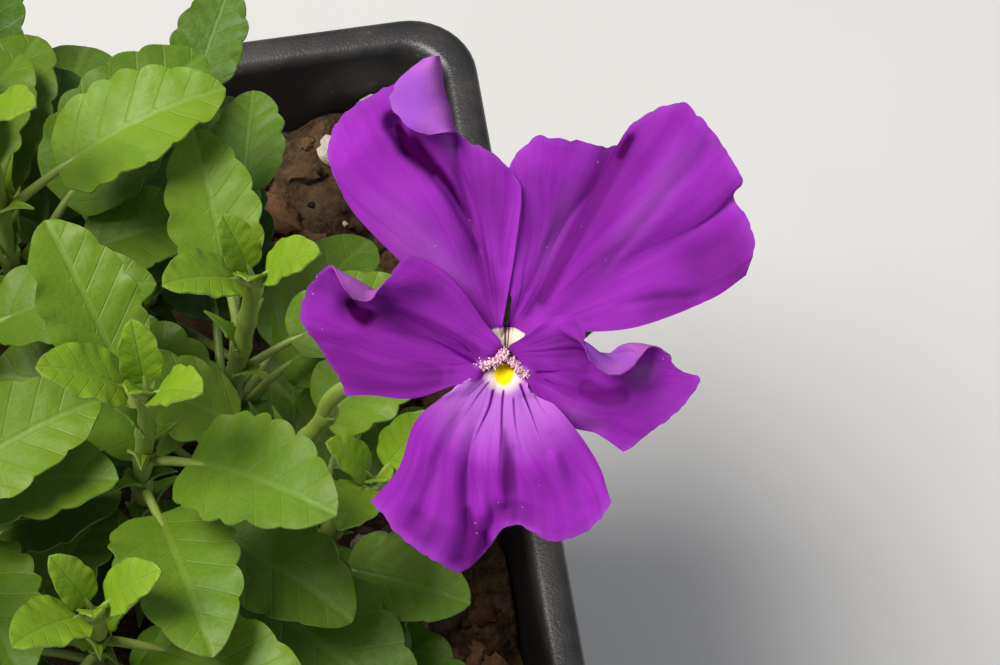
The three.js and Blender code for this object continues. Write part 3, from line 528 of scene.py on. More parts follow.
def planter_rings():
    """The pot's section, ring by ring: up the outside, over the rim's rounded edge and down inside."""
    rim_z, half = POT_HEIGHT - RIM_HEIGHT, POT_WIDTH / 2
    inner_lip = half - RIM_PROUD - WALL
    foot = [(0, 0.8), (0.2, 0.35), (0.6, 0.1), (1.2, 0), (30, 0)]
    above = [(-0.4, 0), (-0.01, 0.05), (0.05, 0.3), (0.5, 0.06)]
    step = [(SHOULDER_Z + height, out) for height, out in above]
    wall = [(SHOULDER_Z + 1, 0), (rim_z - 0.7, 0), (rim_z, -0.12)]
    rings = [wall_ring(*ring) for ring in foot + step + wall]
    rings.append(rounded_square(outer_half(rim_z) + 0.9, CORNER_TOP, rim_z + 0.15))
    band = [(0.62, rim_z + 0.3), (0.4, rim_z + 0.7), (0.3, rim_z + 1.3), (0.06, 96.6)]
    band += [(0.12, 97.2), (0.4, 97.7), (0.85, 97.96), (1.3, POT_HEIGHT)]
    rings += [rounded_square(half - inset, CORNER_TOP - inset, z) for inset, z in band]
    lip = [(1.2, 2.2, POT_HEIGHT), (0.6, 2.6, 97.85), (0.2, 2.8, 97.4)]
    rings += [rounded_square(inner_lip + out, CORNER_TOP - tighter, z) for out, tighter, z in lip]
    inside = (96.6, SHOULDER_Z + 0.6, SHOULDER_Z - 0.01, FLOOR)
    return rings + [wall_ring(z, WALL) for z in inside]


def drain_cuts():
    """What is cut from the underside: a round hole and a bar across the foot for each side."""
    cuts = Shape()
    hole = circle(turns(28), DRAIN_RADIUS, 0) + (DRAIN_OFFSET, DRAIN_OFFSET, 0)
    low, high = DRAIN_OFFSET - GROOVE_WIDTH / 2, DRAIN_OFFSET + GROOVE_WIDTH / 2
    ends = [(-FOOT_WIDTH, low), (FOOT_WIDTH, low), (FOOT_WIDTH, high), (-FOOT_WIDTH, high)]
    bar = np.column_stack([ends, np.zeros(4)])
    for corner in range(4):
        c, s = round(math.cos(corner * math.pi / 2)), round(math.sin(corner * math.pi / 2))
        spin = np.array([[c, s, 0], [-s, c, 0], [0, 0, 1]])
        cuts.add(*loft([(hole + (0, 0, z)) @ spin for z in (-FLOOR, 2 * FLOOR)]))
        tilt = 0.001 * corner  # keeps the four bars' faces off one plane
        cuts.add(*loft([(bar + (0, 0, z)) @ spin for z in (-2, GROOVE_DEPTH + tilt)]))
    return cuts


def make_planter():
    shape = Shape()
    shape.add(*loft(planter_rings()))
    pot = shape.piece("pot_shell", [PLASTIC], "planter_plastic", "planter", sharp=POT_SHARP)
    cutter = drain_cuts().piece("cutter", [], "planter_plastic")
    cutting = pot.modifiers.new("drains", "BOOLEAN")
    cutting.operation, cutting.object, cutting.solver = "DIFFERENCE", cutter, "EXACT"
    cutting.use_self = True
    bpy.context.view_layer.update()
    cut = bpy.data.meshes.new_from_object(pot.evaluated_get(bpy.context.evaluated_depsgraph_get()))
    pot.modifiers.clear()
    pot.data = cut
    cut.shade_smooth()
    cut.set_sharp_from_angle(angle=POT_SHARP * RAD)
    bpy.data.objects.remove(cutter)


# ---- Soil ----
SOIL_LUMPS = [(0.9, 6.5), (0.75, 2.6), (0.4, 1.1)]  # height and width
SOIL_CELLS = 170


def soil_height(x, y):
    height = np.sin(0.21 * x + 1.3) * np.cos(0.17 * y) + 0.7 * np.sin(0.61 * x - 0.47 * y + 2.1)
    for seed, (high, wide) in enumerate(SOIL_LUMPS, 1):
        height = height + high * smooth_noise(x, y, wide, seed)
    return SOIL_Z + height


def keep_round(x, y, half, radius):
    """Points of a square, with those beyond its round corners brought back onto them."""
    dx, dy = np.abs(x) - (half - radius), np.abs(y) - (half - radius)
    far = np.hypot(dx, dy)
    share = np.where((dx > 0) & (dy > 0) & (far > radius), radius / np.maximum(far, 1e-9), 1.0)
    x = np.where(share < 1, np.sign(x) * (half - radius + dx * share), x)
    y = np.where(share < 1, np.sign(y) * (half - radius + dy * share), y)
    return x, y


def make_soil():
    inset = WALL + GAP
    line = np.linspace(-1, 1, SOIL_CELLS + 1)
    u, v = np.meshgrid(line, line)

    def level(z, height=None):
        half = outer_half(z) - inset
        x, y = keep_round(u * half, v * half, half, corner_at(z) - inset)
        return np.stack([x, y, height(x, y) if height else np.full(x.shape, float(z))], -1)

    top = level(SOIL_Z, soil_height)
    top[..., 2] -= 0.9 * np.clip((np.maximum(abs(u), abs(v)) - 0.94) / 0.06, 0, 1)
    levels = [top, level(SHOULDER_Z + 0.9), level(SHOULDER_Z - 0.01), level(FLOOR + GAP)]
    at = numbered(*u.shape)
    ring, face = margin_of(at), quads(at)
    sides, count = len(ring), u.size
    ids = [ring, 2 * count + np.arange(sides), 2 * count + sides + np.arange(sides), count + ring]
    points = [levels[0].reshape(-1, 3), levels[3].reshape(-1, 3)]
    points += [middle.reshape(-1, 3)[ring] for middle in levels[1:3]]
    skirt = [np.stack([b, np.roll(b, -1), np.roll(a, -1), a], -1) for a, b in zip(ids, ids[1:])]
    shape = Shape()
    shape.add(np.concatenate(points), [np.vstack([face, face[:, ::-1] + count, *skirt])])
    shape.piece("soil_bed", [SOIL], "potting_soil", "soil", sharp=80)


BALL_LINE = 5  # points along a side of the cube


def ball():
    """A round lump's points and faces: a cube's grid blown up to a sphere."""
    line = np.linspace(-1, 1, BALL_LINE)
    u, v = np.meshgrid(line, line)
    points, faces = [], []
    for axis in range(3):
        for sign in (-1, 1):
            side = np.stack([u, v, np.full(u.shape, float(sign))], -1)
            side = np.roll(side, axis, axis=-1).reshape(-1, 3)
            face = quads(numbered(BALL_LINE, BALL_LINE) + BALL_LINE**2 * len(points))
            faces.append(face if sign > 0 else face[:, ::-1])
            points.append(side)
    points, faces = np.concatenate(points), np.vstack(faces)
    _, first, same = np.unique(points.round(6), axis=0, return_index=True, return_inverse=True)
    points = points[first]
    return unit(points * (1 + 0.1 * points**2)), same.ravel()[faces]


BALL_POINTS, BALL_FACES = ball()
SCATTER_REACH = 46.0


def scatter(name, finish, count, sizes, stretch, sunk, big=()):
    """Loose lumps over the soil: irregular, turned at random and partly sunk in it."""
    shape = Shape("tone")
    edge = SCATTER_REACH
    spots = [(*rng.uniform(-edge, edge, 2), rng.uniform(0, 1) ** 3) for _ in range(count)]
    for x, y, share in [*spots, *big]:
        size = mix(*sizes, share) / 2
        spread = np.array([rng.uniform(*stretch), rng.uniform(0.7, 1.1), rng.uniform(0.55, 0.9)])
        lumps = 1 + 0.28 * rng.uniform(-1, 1, len(BALL_POINTS))
        points = BALL_POINTS * lumps[:, None] * spread * size
        turn, tip = rng.uniform(0, 2 * math.pi), rng.uniform(-0.5, 0.5)
        c, s = math.cos(tip), math.sin(tip)
        points = points @ np.array([[c, 0, s], [0, 1, 0], [-s, 0, c]])
        c, s = math.cos(turn), math.sin(turn)
        points = points @ np.array([[c, -s, 0], [s, c, 0], [0, 0, 1]])
        ground = soil_height(np.array(x), np.array(y))
        points = points + (x, y, ground + size * (0.6 - sunk))
        shape.add(points, [BALL_FACES], tone=rng.uniform(0, 1))
    shape.piece(name, [finish], "potting_soil", sharp=70)


# ---- Stems ----
def stem_controls(stem):
    foot, end = np.array([*stem.base, SOIL_Z + 2.0]), np.array(stem.top, float)
    halfway = mix(foot, end, 0.5)
    halfway[2] = mix(foot[2], end[2], 0.6)
    return foot, foot + (0, 0, STEM_RISE), halfway, end


def facing(stem):
    """The face frame of a stem's head: its right, up and towards vectors as rows."""
    a, e = stem.azimuth * RAD, stem.elevation * RAD
    towards = np.array([math.sin(a) * math.cos(e), -math.cos(a) * math.cos(e), math.sin(e)])
    return np.stack([spoke(a), np.cross(towards, spoke(a)), towards])


def from_face(points, stem):
    return np.asarray(points, float) @ facing(stem) * stem.scale + stem.centre


def stalk_controls(stem):
    end = from_face([0, 0, STALK_END], stem)
    start = bezier(stem_controls(stem), 0.97)[0]
    return start, start + (0, 0, STALK_LIFT), end - STALK_REACH * facing(stem)[2], end


def leafy_stem(index):
    share = index / (LEAFY_COUNT - 1)
    turn = (SPIRAL_START + index * GOLDEN_ANGLE) * RAD
    clear = max(0.0, math.cos(turn - OPEN_CORNER * RAD)) ** 8
    near, far = mix(*BASE_SPREAD, share), mix(*HEAD_SPREAD, share) - OPEN_LOW * clear
    height = mix(*HEAD_HEIGHT, share) - 2 * OPEN_LOW * clear
    c, s = math.cos(turn), math.sin(turn)
    return SimpleNamespace(base=(near * c, near * s), top=(far * c, far * s, height), centre=None)


# ---- Leaves: where they stand, as in the CAD source ----
LEAF_LENGTH, LEAF_HALF, PETIOLE_LENGTH = (27, 15), (8, 4.6), (15, 5)
LEAF_PITCH, LEAF_DROOP, LEAF_FOLD, LEAF_STEPS = (22, 48), (62, 40), 16, 12
PROBE_ROWS, PROBE_COLUMNS = 10, np.array([[-1, -0.5, 0, 0.5, 1]])
CLEAR, RIM_KEEP, BARE_SIDE, BARE_CORNER = 2.6, 2.2, 44, (31, 34)
HEAD_KEEP, BUD_KEEP = (25, -14, 9), (8, -12, 10)
LEAVES, LEAF_SHARES, TRIES = 7, (0.22, 0.98), 24
LEAF_VARIES = (14, 7, 9, 8)  # by how many degrees a leaf's turn, rise, droop and roll vary
SHRINK_BY, TURN_BY, RISE_BY = 0.013, 24, 7


def leaf_points(leaf, along, across, half, crease=0.0):
    """Points of a leaf: along runs from its root on the stem to its tip, across from edge to edge."""
    along, across, half = np.broadcast_arrays(*(np.asarray(v, float) for v in (along, across, half)))
    step = (leaf.petiole + leaf.length) * along / LEAF_STEPS
    out, up = np.zeros(along.shape), np.zeros(along.shape)
    for i in range(LEAF_STEPS):
        pitch = leaf.pitch - leaf.droop * (along * (i + 0.5) / LEAF_STEPS) ** 1.5
        out, up = out + step * np.cos(pitch), up + step * np.sin(pitch)
    bend = np.sqrt(across**2 + crease) - math.sqrt(crease)
    rise = half * (across * math.tan(leaf.roll) + bend * math.tan(LEAF_FOLD * RAD))
    out, up = out - rise * np.sin(pitch), up + rise * np.cos(pitch)
    c, s = math.cos(leaf.heading), math.sin(leaf.heading)
    x, y = out * c - across * half * s, out * s + across * half * c
    return np.stack([x, y, up], -1) + leaf.root


def blade_start(leaf):
    return leaf.petiole / (leaf.petiole + leaf.length)


def leaf_probes(leaf):
    start = blade_start(leaf)
    petiole = leaf_points(leaf, np.array([0.5, 0.8]) * start, 0, 0)
    share = np.arange(PROBE_ROWS + 1)[:, None] / PROBE_ROWS
    narrowing = (1.9 * share - 0.75) ** 2 * np.where(share > 0.4, 0.75, 1.6)
    half = leaf.half * np.sqrt(np.maximum(0.02, 1 - narrowing))
    blade = leaf_points(leaf, mix(start, 1, share), PROBE_COLUMNS, half)
    return np.vstack([petiole, blade.reshape(-1, 3)])


def blocked(probes, taken, clear=CLEAR, bare=BARE_CORNER):
    """Whether a leaf would touch pot, soil, a head's room or what is taken, or hide the bare corner."""
    x, y, z = probes.T
    out, wall = np.maximum(abs(x), abs(y)), POT_WIDTH / 2
    over_wall = (out > wall - RIM_PROUD - WALL - RIM_KEEP) & (out < wall + RIM_KEEP)
    over_wall &= z < POT_HEIGHT + RIM_KEEP
    down = (z - SOIL_Z) / math.tan(VIEW_ELEVATION * RAD)
    behind_x = x - down * math.sin(VIEW_AZIMUTH * RAD)
    behind_y = y + down * math.cos(VIEW_AZIMUTH * RAD)
    corner = (behind_x > bare[0]) & (behind_y > bare[1])
    if np.any((z < SOIL_Z + 3) | (x > BARE_SIDE) | over_wall | corner):
        return True
    for stem, room in HEADS:
        radius, back, front = np.multiply(room, stem.scale)
        local = (probes - stem.centre) @ facing(stem).T / stem.scale
        inside = np.hypot(local[:, 0], local[:, 1]) < radius
        if np.any(inside & (local[:, 2] > back) & (local[:, 2] < front)):
            return True
    near = taken[((taken > probes.min(0) - clear) & (taken < probes.max(0) + clear)).all(1)]
    return bool((((near[:, None] - probes) ** 2).sum(-1) < clear**2).any())


def drawer(stream):
    """Seeded draws between two numbers, a stream for every stem, the same as in the CAD source."""
    state = (stream + 1) * 2654435761 % 2**32

    def draw(low, high):
        nonlocal state
        state = (state * 1664525 + 1013904223) % 2**32
        return mix(low, high, state / 2**32)

    return draw


def place_leaf(stem, level, taken):
    """The leaf of a stem at one level, turned aside until it is clear, and the probes it takes up."""
    share = level / (LEAVES - 1)
    drawn_size = stem.draw(0.9, 1.12)
    turn, rise, droop, roll = (stem.draw(-limit, limit) for limit in LEAF_VARIES)
    for attempt in range(TRIES):
        aside = math.ceil(attempt / 2) * (1 if attempt % 2 else -1) * TURN_BY
        size = drawn_size * (1 - attempt * SHRINK_BY)
        leaf = SimpleNamespace(
            root=bezier(stem_controls(stem), mix(*LEAF_SHARES, share))[0],
            heading=(stem.start + level * GOLDEN_ANGLE + turn + aside) * RAD,
            pitch=(mix(*LEAF_PITCH, share) + rise + attempt % 3 * RISE_BY) * RAD,
            droop=(mix(*LEAF_DROOP, share) + droop) * RAD,
            roll=roll * RAD,
            petiole=mix(*PETIOLE_LENGTH, share) * size,
            length=mix(*LEAF_LENGTH, share) * size,
            half=mix(*LEAF_HALF, share) * size,
            share=share,
        )
        probes = leaf_probes(leaf)
        if not blocked(probes, taken):
            return leaf, probes
    return None


STEMS = [*FLOWERING, *BUDDING, *(leafy_stem(i) for i in range(LEAFY_COUNT))]
ROOMS = [HEAD_KEEP] * len(FLOWERING) + [BUD_KEEP] * len(BUDDING)
HEADS = list(zip(STEMS, ROOMS))


def grow_leaves():
    """Gives each stem its leaves, level by level, as they grow in the CAD source."""
    even = np.linspace(0, 1, 41)
    taken = []
    for stream, stem in enumerate(STEMS):
        stem.draw, stem.leaves = drawer(stream), []
        stem.start = stem.draw(0, 360)
        taken.append(bezier(stem_controls(stem), even))
        if stem.centre:
            taken.append(bezier(stalk_controls(stem), even))
    for level in range(LEAVES):
        for stem in STEMS:
            placed = place_leaf(stem, level, np.concatenate(taken))
            if placed:
                stem.leaves.append(placed[0])
                taken.append(placed[1])
    return np.concatenate(taken)


FILL_ROUNDS, FILL_TRIES, FILL_CLEAR = 10, 16, 1.7
FILL_EDGE, FILL_TOP = 50, 128  # added leaves stay within the pot and below the stems' tips
FILL_GRID, FILL_HEIGHTS, FILL_OPEN = np.arange(-45, 46, 6.0), (10, 18), 6.5
FILL_REACH, FILL_BARE = (3, 34), (37, 35)
NEAREST, GAP_SHARES = 6, (0.1, 0.3, 0.5)
GAP_LEAVES = [(1, 60), (1, 40), (0.75, 60), (0.75, 40), (0.6, 55), (0.6, 30)]  # size and droop


def extra_root(stem, share):
    return bezier(stem_controls(stem), mix(0.05, 0.85, share))[0]


def extra_leaf(stem, share, heading, size, petiole, droop=66):
    """A leaf of the filling: larger and longer stalked the lower its share of the stem's height."""
    return SimpleNamespace(
        root=extra_root(stem, share),
        heading=heading,
        pitch=mix(34, 50, share) * RAD + stem.draw(-0.25, 0.3),
        droop=mix(droop, 50, share) * RAD,
        roll=stem.draw(-10, 10) * RAD,
        petiole=petiole,
        length=mix(24, 17, share) * size,
        half=mix(8.4, 5.8, share) * size,
        share=0.1 + 0.5 * share,
    )


def fill_gaps(taken):
    """Adds leaves wherever the foliage still leaves room, so that it closes as in the photo."""

    def grown(stem, leaf):
        nonlocal taken
        probes = leaf_probes(leaf)
        outside = abs(probes[:, :2]).max() > FILL_EDGE or probes[:, 2].max() > FILL_TOP
        if outside or blocked(probes, taken, FILL_CLEAR, FILL_BARE):
            return False
        stem.leaves.append(leaf)
        taken = np.concatenate([taken, probes])
        return True

    for _ in range(FILL_ROUNDS):
        for stem in STEMS:
            share, size = stem.draw(0.04, 0.7), stem.draw(0.85, 1.1)
            for attempt in range(FILL_TRIES):
                shrunk = size * (1 - 0.02 * attempt)
                heading, petiole = stem.draw(0, 360) * RAD, mix(19, 9, share) * shrunk
                if grown(stem, extra_leaf(stem, share, heading, shrunk, petiole)):
                    break
    for height, x, y in product(FILL_HEIGHTS, FILL_GRID, FILL_GRID):
        gap = np.array([x, y, SOIL_Z + height])
        if (((taken - gap) ** 2).sum(-1) > FILL_OPEN**2).all():
            close_gap(gap, grown)


def close_gap(gap, grown):
    """Tries leaves of the nearest stems until the blade of one covers a gap."""
    nearest = sorted(STEMS, key=lambda stem: math.dist(stem.base, gap[:2]))[:NEAREST]
    for stem, share, (size, droop) in product(nearest, GAP_SHARES, GAP_LEAVES):
        x, y, _ = gap - extra_root(stem, share)
        petiole = (math.hypot(x, y) - 9 * size) / math.cos(24 * RAD)
        if FILL_REACH[0] < petiole < FILL_REACH[1]:
            if grown(stem, extra_leaf(stem, share, math.atan2(y, x), size, petiole, droop)):
                return


# ---- Leaves: their blades, stalks and stipules ----
BLADE_THICKNESS, STIPULE_THICKNESS = 0.34, 0.28
YOUNG_LEAVES, YOUNG_TONE = 4, 0.95


def blade_width(share):
    """The outline of a blade: its half width, as a share of the widest, at shares of its length."""
    return share**0.42 * (1 - share) ** 0.62 / 0.496


def blade_lines(rows, columns):
    """Shares of a blade's length as a column, and from edge to edge as a row."""
    return np.linspace(0, 1, rows + 1)[:, None], np.linspace(1, -1, columns + 1)[None, :]


def add_blade(shape, leaf, tone, rows=52, columns=16, teeth=7, depth=0.12):
    """A blade with scalloped margins, raised between its side veins and a little wavy at the edge."""
    s, c = blade_lines(rows, columns)
    wave = rng.uniform(0, 2 * math.pi, 4)
    scallop = np.abs(np.sin(math.pi * (teeth * s**0.9 + 0.35 + 0.12 * np.sign(c)))) ** 0.7
    notched = 1 - depth * (1 - scallop) * np.clip(3.2 * s, 0, 1) * np.clip(5 * (1 - s), 0, 1)
    width = np.maximum(blade_width(s) * mix(1, notched, c**2), 0.02)
    grid = leaf_points(leaf, mix(blade_start(leaf), 1, s), c, leaf.half * width, crease=0.02)
    lateral = 6 * (s - 0.26 * np.abs(c) * width) + 0.5 * (c > 0)
    near_edge = np.abs(c) ** 3
    quilt = 0.014 * leaf.half * np.sin(math.pi * np.abs(c)) ** 0.8 * -np.cos(2 * math.pi * lateral)
    ruffle = 0.055 * leaf.half * near_edge * np.sin(2 * math.pi * (2.6 * s + 0.2 * np.sign(c)) + wave[0])
    ruffle += 0.03 * leaf.half * near_edge * np.sin(2 * math.pi * 5.7 * s + wave[1] * np.sign(c))
    fade = np.clip(8 * s, 0, 1) * np.clip(8 * (1 - s), 0, 1)
    grid += grid_normals(grid) * ((quilt + ruffle) * fade)[..., None]
    thin = BLADE_THICKNESS * mix(1, 0.55, near_edge)
    shape.add_sheet(grid, thin, along=s, across=c * width, lateral=lateral, tone=tone, under=BELOW)


def add_midrib(shape, leaf, tone):
    """The leaf's stalk and, tapering along the underside of the blade, its midrib."""
    start = blade_start(leaf)
    along = np.concatenate([np.linspace(0, start, 12), np.linspace(start, 0.94, 16)[1:]])
    path = leaf_points(leaf, along, 0, 0)
    thick = np.interp(along, [0, 0.06, start, mix(start, 1, 0.5), 0.94], [0.85, 0.62, 0.5, 0.3, 0.1])
    thick = thick * (0.6 + 0.4 * leaf.half / LEAF_HALF[0])
    down = np.clip((along - start) / (1 - start) * 6, 0, 1)
    path[:, 2] -= down * (thick * 0.55 + 0.1)
    shape.add(*tube(path, thick, 8), 1, tone=tone, tint=np.repeat(mix(0.35, 0.0, along), 8))


def add_stipule(shape, leaf, side, tone):
    """One of the two leafy, lobed stipules at the root of a leaf."""
    size = leaf.half / LEAF_HALF[0]
    stipule = SimpleNamespace(
        root=leaf.root, heading=leaf.heading + side * 50 * RAD, pitch=leaf.pitch + 0.5, droop=0.9,
        roll=side * 0.25, petiole=0.6, length=9.5 * size, half=2.1 * size,
    )
    s, c = blade_lines(28, 6)
    lobes = np.abs(np.sin(math.pi * (3.2 * s / 0.55))) ** 0.8 * (s < 0.55)
    plain = 0.42 * np.clip(s * 6, 0, 1) ** 0.5 * np.clip((1 - s) * 2.2, 0, 1) ** 0.8
    width = np.maximum(plain + 0.62 * lobes * np.clip(1.2 - s * 1.6, 0, 1), 0.03)
    grid = leaf_points(stipule, mix(blade_start(stipule), 1, s), c, stipule.half * width, crease=0.05)
    values = dict(along=s, across=c * width, lateral=0.5, tone=tone, under=BELOW)
    shape.add_sheet(grid, STIPULE_THICKNESS, **values)


def make_foliage(name, stem):
    """The leaves of one stem with stalks and stipules, and a leafy stem's young leaves at its tip."""
    shape = Shape("along", "across", "lateral", "tone", "under", "tint")
    for leaf in stem.leaves:
        tone = mix(0.12, 0.72, leaf.share) + rng.uniform(-0.2, 0.26)
        add_blade(shape, leaf, tone, teeth=7 if leaf.half > 6 else 5)
        add_midrib(shape, leaf, tone)
        for side in (-1, 1):
            add_stipule(shape, leaf, side, tone)
    for k in range(0 if stem.centre else YOUNG_LEAVES):
        size = 1 - 0.17 * k
        young = SimpleNamespace(
            root=bezier(stem_controls(stem), 0.99)[0],
            heading=(stem.start + 40 + k * GOLDEN_ANGLE) * RAD, pitch=(58 + 7 * k) * RAD,
            droop=0.6, roll=0.0, petiole=3.6 * size, length=10.5 * size, half=3.3 * size,
        )
        add_blade(shape, young, YOUNG_TONE, rows=26, columns=10, teeth=3)
        add_midrib(shape, young, YOUNG_TONE)
    shape.piece(f"{name}_leaves", [LEAF, STEM], "foliage", name)


# ---- Stems, stalks and calyxes ----
SEPAL_TURNS = [90, 22, 158, 222, 330]
RECEPTACLE = [(0.4, -8.8), (1.2, -8.6), (2.0, -7.8), (2.4, -6.7), (2.4, -5.9), (1.6, -4.95), (0.4, -4.8)]
SEPAL_WIDTH, SEPAL_THICKNESS, BRACT_THICKNESS = 3, 0.45, 0.22
SEPAL_LOBE = [(3.2, -10.4), (1.9, -7.6)]
OPEN_SEPAL = [*SEPAL_LOBE, (3.0, -6.0), (6.4, -5.3), (9.4, -5.2)]
SHUT_SEPAL = [*SEPAL_LOBE, (3.0, -5.6), (4.5, -1.6), (4.4, 2.6)]


def add_calyx(shape, stem, profile):
    """A cup under the head and its five sepals, which follow a profile of (reach, height) points."""
    points, blocks = loft([circle(turns(24), radius, z) for radius, z in RECEPTACLE])
    shape.add(from_face(points, stem), blocks, 1, tone=0.4)
    s, c = blade_lines(26, 8)
    middle = catmull(profile, s.ravel())[:, None]
    width = np.interp(s, [0, 0.05, 0.25, 0.5, 0.75, 1], [0.25, 0.6, 0.8, 0.95, 0.7, 0.05])
    for turn in SEPAL_TURNS:
        out, side = spoke(turn * RAD), spoke((turn + 90) * RAD)
        grid = middle[..., :1] * out + middle[..., 1:] * UPWARD
        grid = grid + side * (c * width * SEPAL_WIDTH / 2)[..., None]
        grid = grid + (0.25 * c**2 * width)[..., None] * (out * 0.4 + 0.6 * UPWARD)
        shape.add_sheet(from_face(grid, stem), SEPAL_THICKNESS, tone=0.5)


def add_bracteole(shape, stem, share, side):
    """One of the two small narrow bracts on a flower's stalk."""
    at = bezier(stalk_controls(stem), share)[0]
    a = side * 1.2 + stem.azimuth * RAD
    s, c = (line[..., None] for line in blade_lines(8, 2))
    grid = at + spoke(a, 0.9) * s * 2.6 + spoke(a + math.pi / 2) * c * 0.38 * (1 - s) ** 0.7
    shape.add_sheet(grid + 0.7 * UPWARD * s**2, BRACT_THICKNESS, tone=0.4)


def make_stem(name, stem, sepals):
    """A stem, thicker where its leaves sit, with its head's stalk, bracts and calyx."""
    shape = Shape("tone", "tint")
    place = np.linspace(0, 1, 46)
    foot = np.array([[*stem.base, SOIL_Z - 7], [*stem.base, SOIL_Z - 3]])
    path = np.concatenate([foot, bezier(stem_controls(stem), place)])
    radius = mix(STEM_RADIUS * 1.06, STEM_RADIUS * 0.8, place)
    for leaf_share in np.linspace(*LEAF_SHARES, LEAVES):
        radius += 0.24 * np.exp(-(((place - leaf_share) / 0.018) ** 2))
    radius = np.concatenate([[radius[0]] * 2, radius])
    tint = np.repeat(np.linspace(0.75, 0.1, len(path)), 18)
    shape.add(*tube(path, radius, 18, 0.07), 1, tone=0.3, tint=tint)
    if stem.centre:
        place = np.linspace(0, 1, 50)
        thick = mix(STALK_RADIUS, STALK_RADIUS * 0.86, place)
        tint = np.repeat(mix(0.1, 0.5, place), 16)
        stalk = tube(bezier(stalk_controls(stem), place), thick, 16, 0.09)
        shape.add(*stalk, 1, tone=0.6, tint=tint)
        add_calyx(shape, stem, sepals)
        for side in (-1, 1):
            add_bracteole(shape, stem, 0.5 + 0.02 * side, side)
    shape.piece(f"{name}_stems", [SEPAL, STEM], "foliage", name)


# ---- Petals of the photographed bloom, as in the CAD source ----
# Face frame: x right, y up, z towards the viewer, from the middle of the throat.
# A ray runs to a point of the outer margin, (x, y, z, depth halfway). Where the margin is rolled,
# three more numbers give the crest (x, y, z) that the ray is turned over.
UPPER_LEFT = dict(
    root=(150, 98),
    throat=[(-1.7, 2.5, -2.3), (-0.9, 2.9, -2.1), (-0.25, 3.0, -1.8)],
    middle=(-4.4, 14.2),
    sides=[(-8.9, 8.7, -1.3, -13.2, 13.0, 0.1), (0.8, 9.0, -1.1, 1.4, 13.4, -0.2)],
    rays=[
        (-15.0, 16.4, 0.9, -1.2), (-15.5, 18.9, 1.2, -0.5), (-14.4, 21.6, 1.1, 0.3), (-12.3, 23.2, 0.7, 0.9),
        (-10.2, 24.2, 0.3, 1.3), (-8.0, 25.1, -0.1, 0.0), (-6.1, 26.0, -0.4, -1.8), (-4.3, 19.8, 0.2, -1.6),
        (-2.0, 18.8, 0.6, -1.1), (0.3, 17.2, 0.4, -0.8), (1.4, 15.4, 0.1, -0.9),
    ],
)
FLAP_HINGE = [
    (-5.8, 26.9, -0.1), (-5.6, 25.1, 0.1), (-5.2, 23.2, 0.5), (-4.8, 21.6, 0.9), (-4.4, 20.1, 1.2),
]
FLAP_MARGIN = [
    (-7.3, 26.5, 0.9), (-9.3, 24.5, 2.3), (-10.0, 22.7, 2.9), (-9.0, 20.9, 3.1), (-6.8, 19.9, 2.8),
]
FLAP_RISE = 1.3
UPPER_RIGHT = dict(
    root=(82, 30),
    throat=[(0.25, 3.0, -3.0), (0.9, 2.9, -2.8), (1.8, 2.3, -2.7)],
    middle=(7.2, 12.0),
    sides=[(0.9, 8.8, -2.6, 1.3, 13.6, -2.1), (11.6, 3.1, -1.2, 18.0, 5.5, -0.8)],
    rays=[
        (0.9, 16.6, -1.5, -2.6), (1.9, 18.6, -1.1, -2.2), (3.6, 19.8, -0.8, -1.8), (6.6, 19.6, -0.9, -2.1),
        (9.5, 19.0, -2.2, -3.0), (11.5, 21.2, 0.6, -1.7), (15.6, 22.6, 1.3, -0.1), (18.5, 19.8, 0.4, 0.5),
        (20.8, 16.2, 1.0, 0.2), (20.3, 14.5, -0.5, -0.4), (21.9, 10.8, 0.6, -0.3), (21.4, 7.8, -0.2, -0.9),
    ],
)
SIDE_LEFT = dict(
    root=(168, 214),
    throat=[(-0.25, 1.35, 0.3), (-1.3, 0.35, 0.1), (-2.3, -0.7, 0.0)],
    middle=(-8.6, 2.9),
    sides=[(-4.2, 6.9, 1.2, -6.4, 8.7, 1.5), (-8.1, -3.1, 0.5, -12.0, -2.9, 0.3)],
    rays=[
        (-8.4, 9.4, 1.8, 1.2), (-9.7, 8.2, 1.9, 1.0), (-10.8, 6.5, 2.6, 0.3, -10.1, 6.4, 1.8),
        (-12.0, 5.4, 3.7, 0.0, -11.8, 6.1, 2.2), (-13.7, 6.0, 4.0, 0.0, -13.3, 7.2, 2.3),
        (-15.3, 8.3, 2.7, 0.2, -14.6, 7.6, 2.0), (-17.2, 6.7, 1.0, 0.6), (-18.0, 4.0, 0.4, 0.8),
        (-16.8, 1.9, 0.2, 0.9), (-15.0, -0.8, 0.4, 0.9), (-13.9, -2.8, 0.2, 0.7),
    ],
)
SIDE_RIGHT = dict(
    root=(12, -34),
    throat=[(0.35, 1.25, 0.3), (1.3, 0.3, 0.0), (2.1, -0.6, -0.3)],
    middle=(7.8, -0.7),
    sides=[(3.2, 3.4, 1.1, 4.9, 4.1, 1.5), (5.8, -5.1, -0.9, 8.4, -6.5, -0.6)],
    rays=[
        (6.3, 4.0, 1.8, 1.1), (6.9, 2.6, 2.2, 1.0), (7.2, 0.5, 3.4, 0.8, 7.3, 1.5, 2.2),
        (9.4, -1.1, 3.9, 0.5, 9.4, 0.2, 2.1), (11.2, -0.4, 3.7, 0.3, 11.2, 0.8, 2.0), (12.6, 1.4, 2.0, 0.3),
        (14.2, 0.9, 1.0, 0.4), (15.5, -0.8, 0.5, 0.6), (17.2, -1.6, 0.8, 0.6), (15.5, -4.0, 0.6, 0.4),
        (12.8, -6.3, 0.1, 0.0), (10.4, -7.9, -0.2, -0.6),
    ],
)
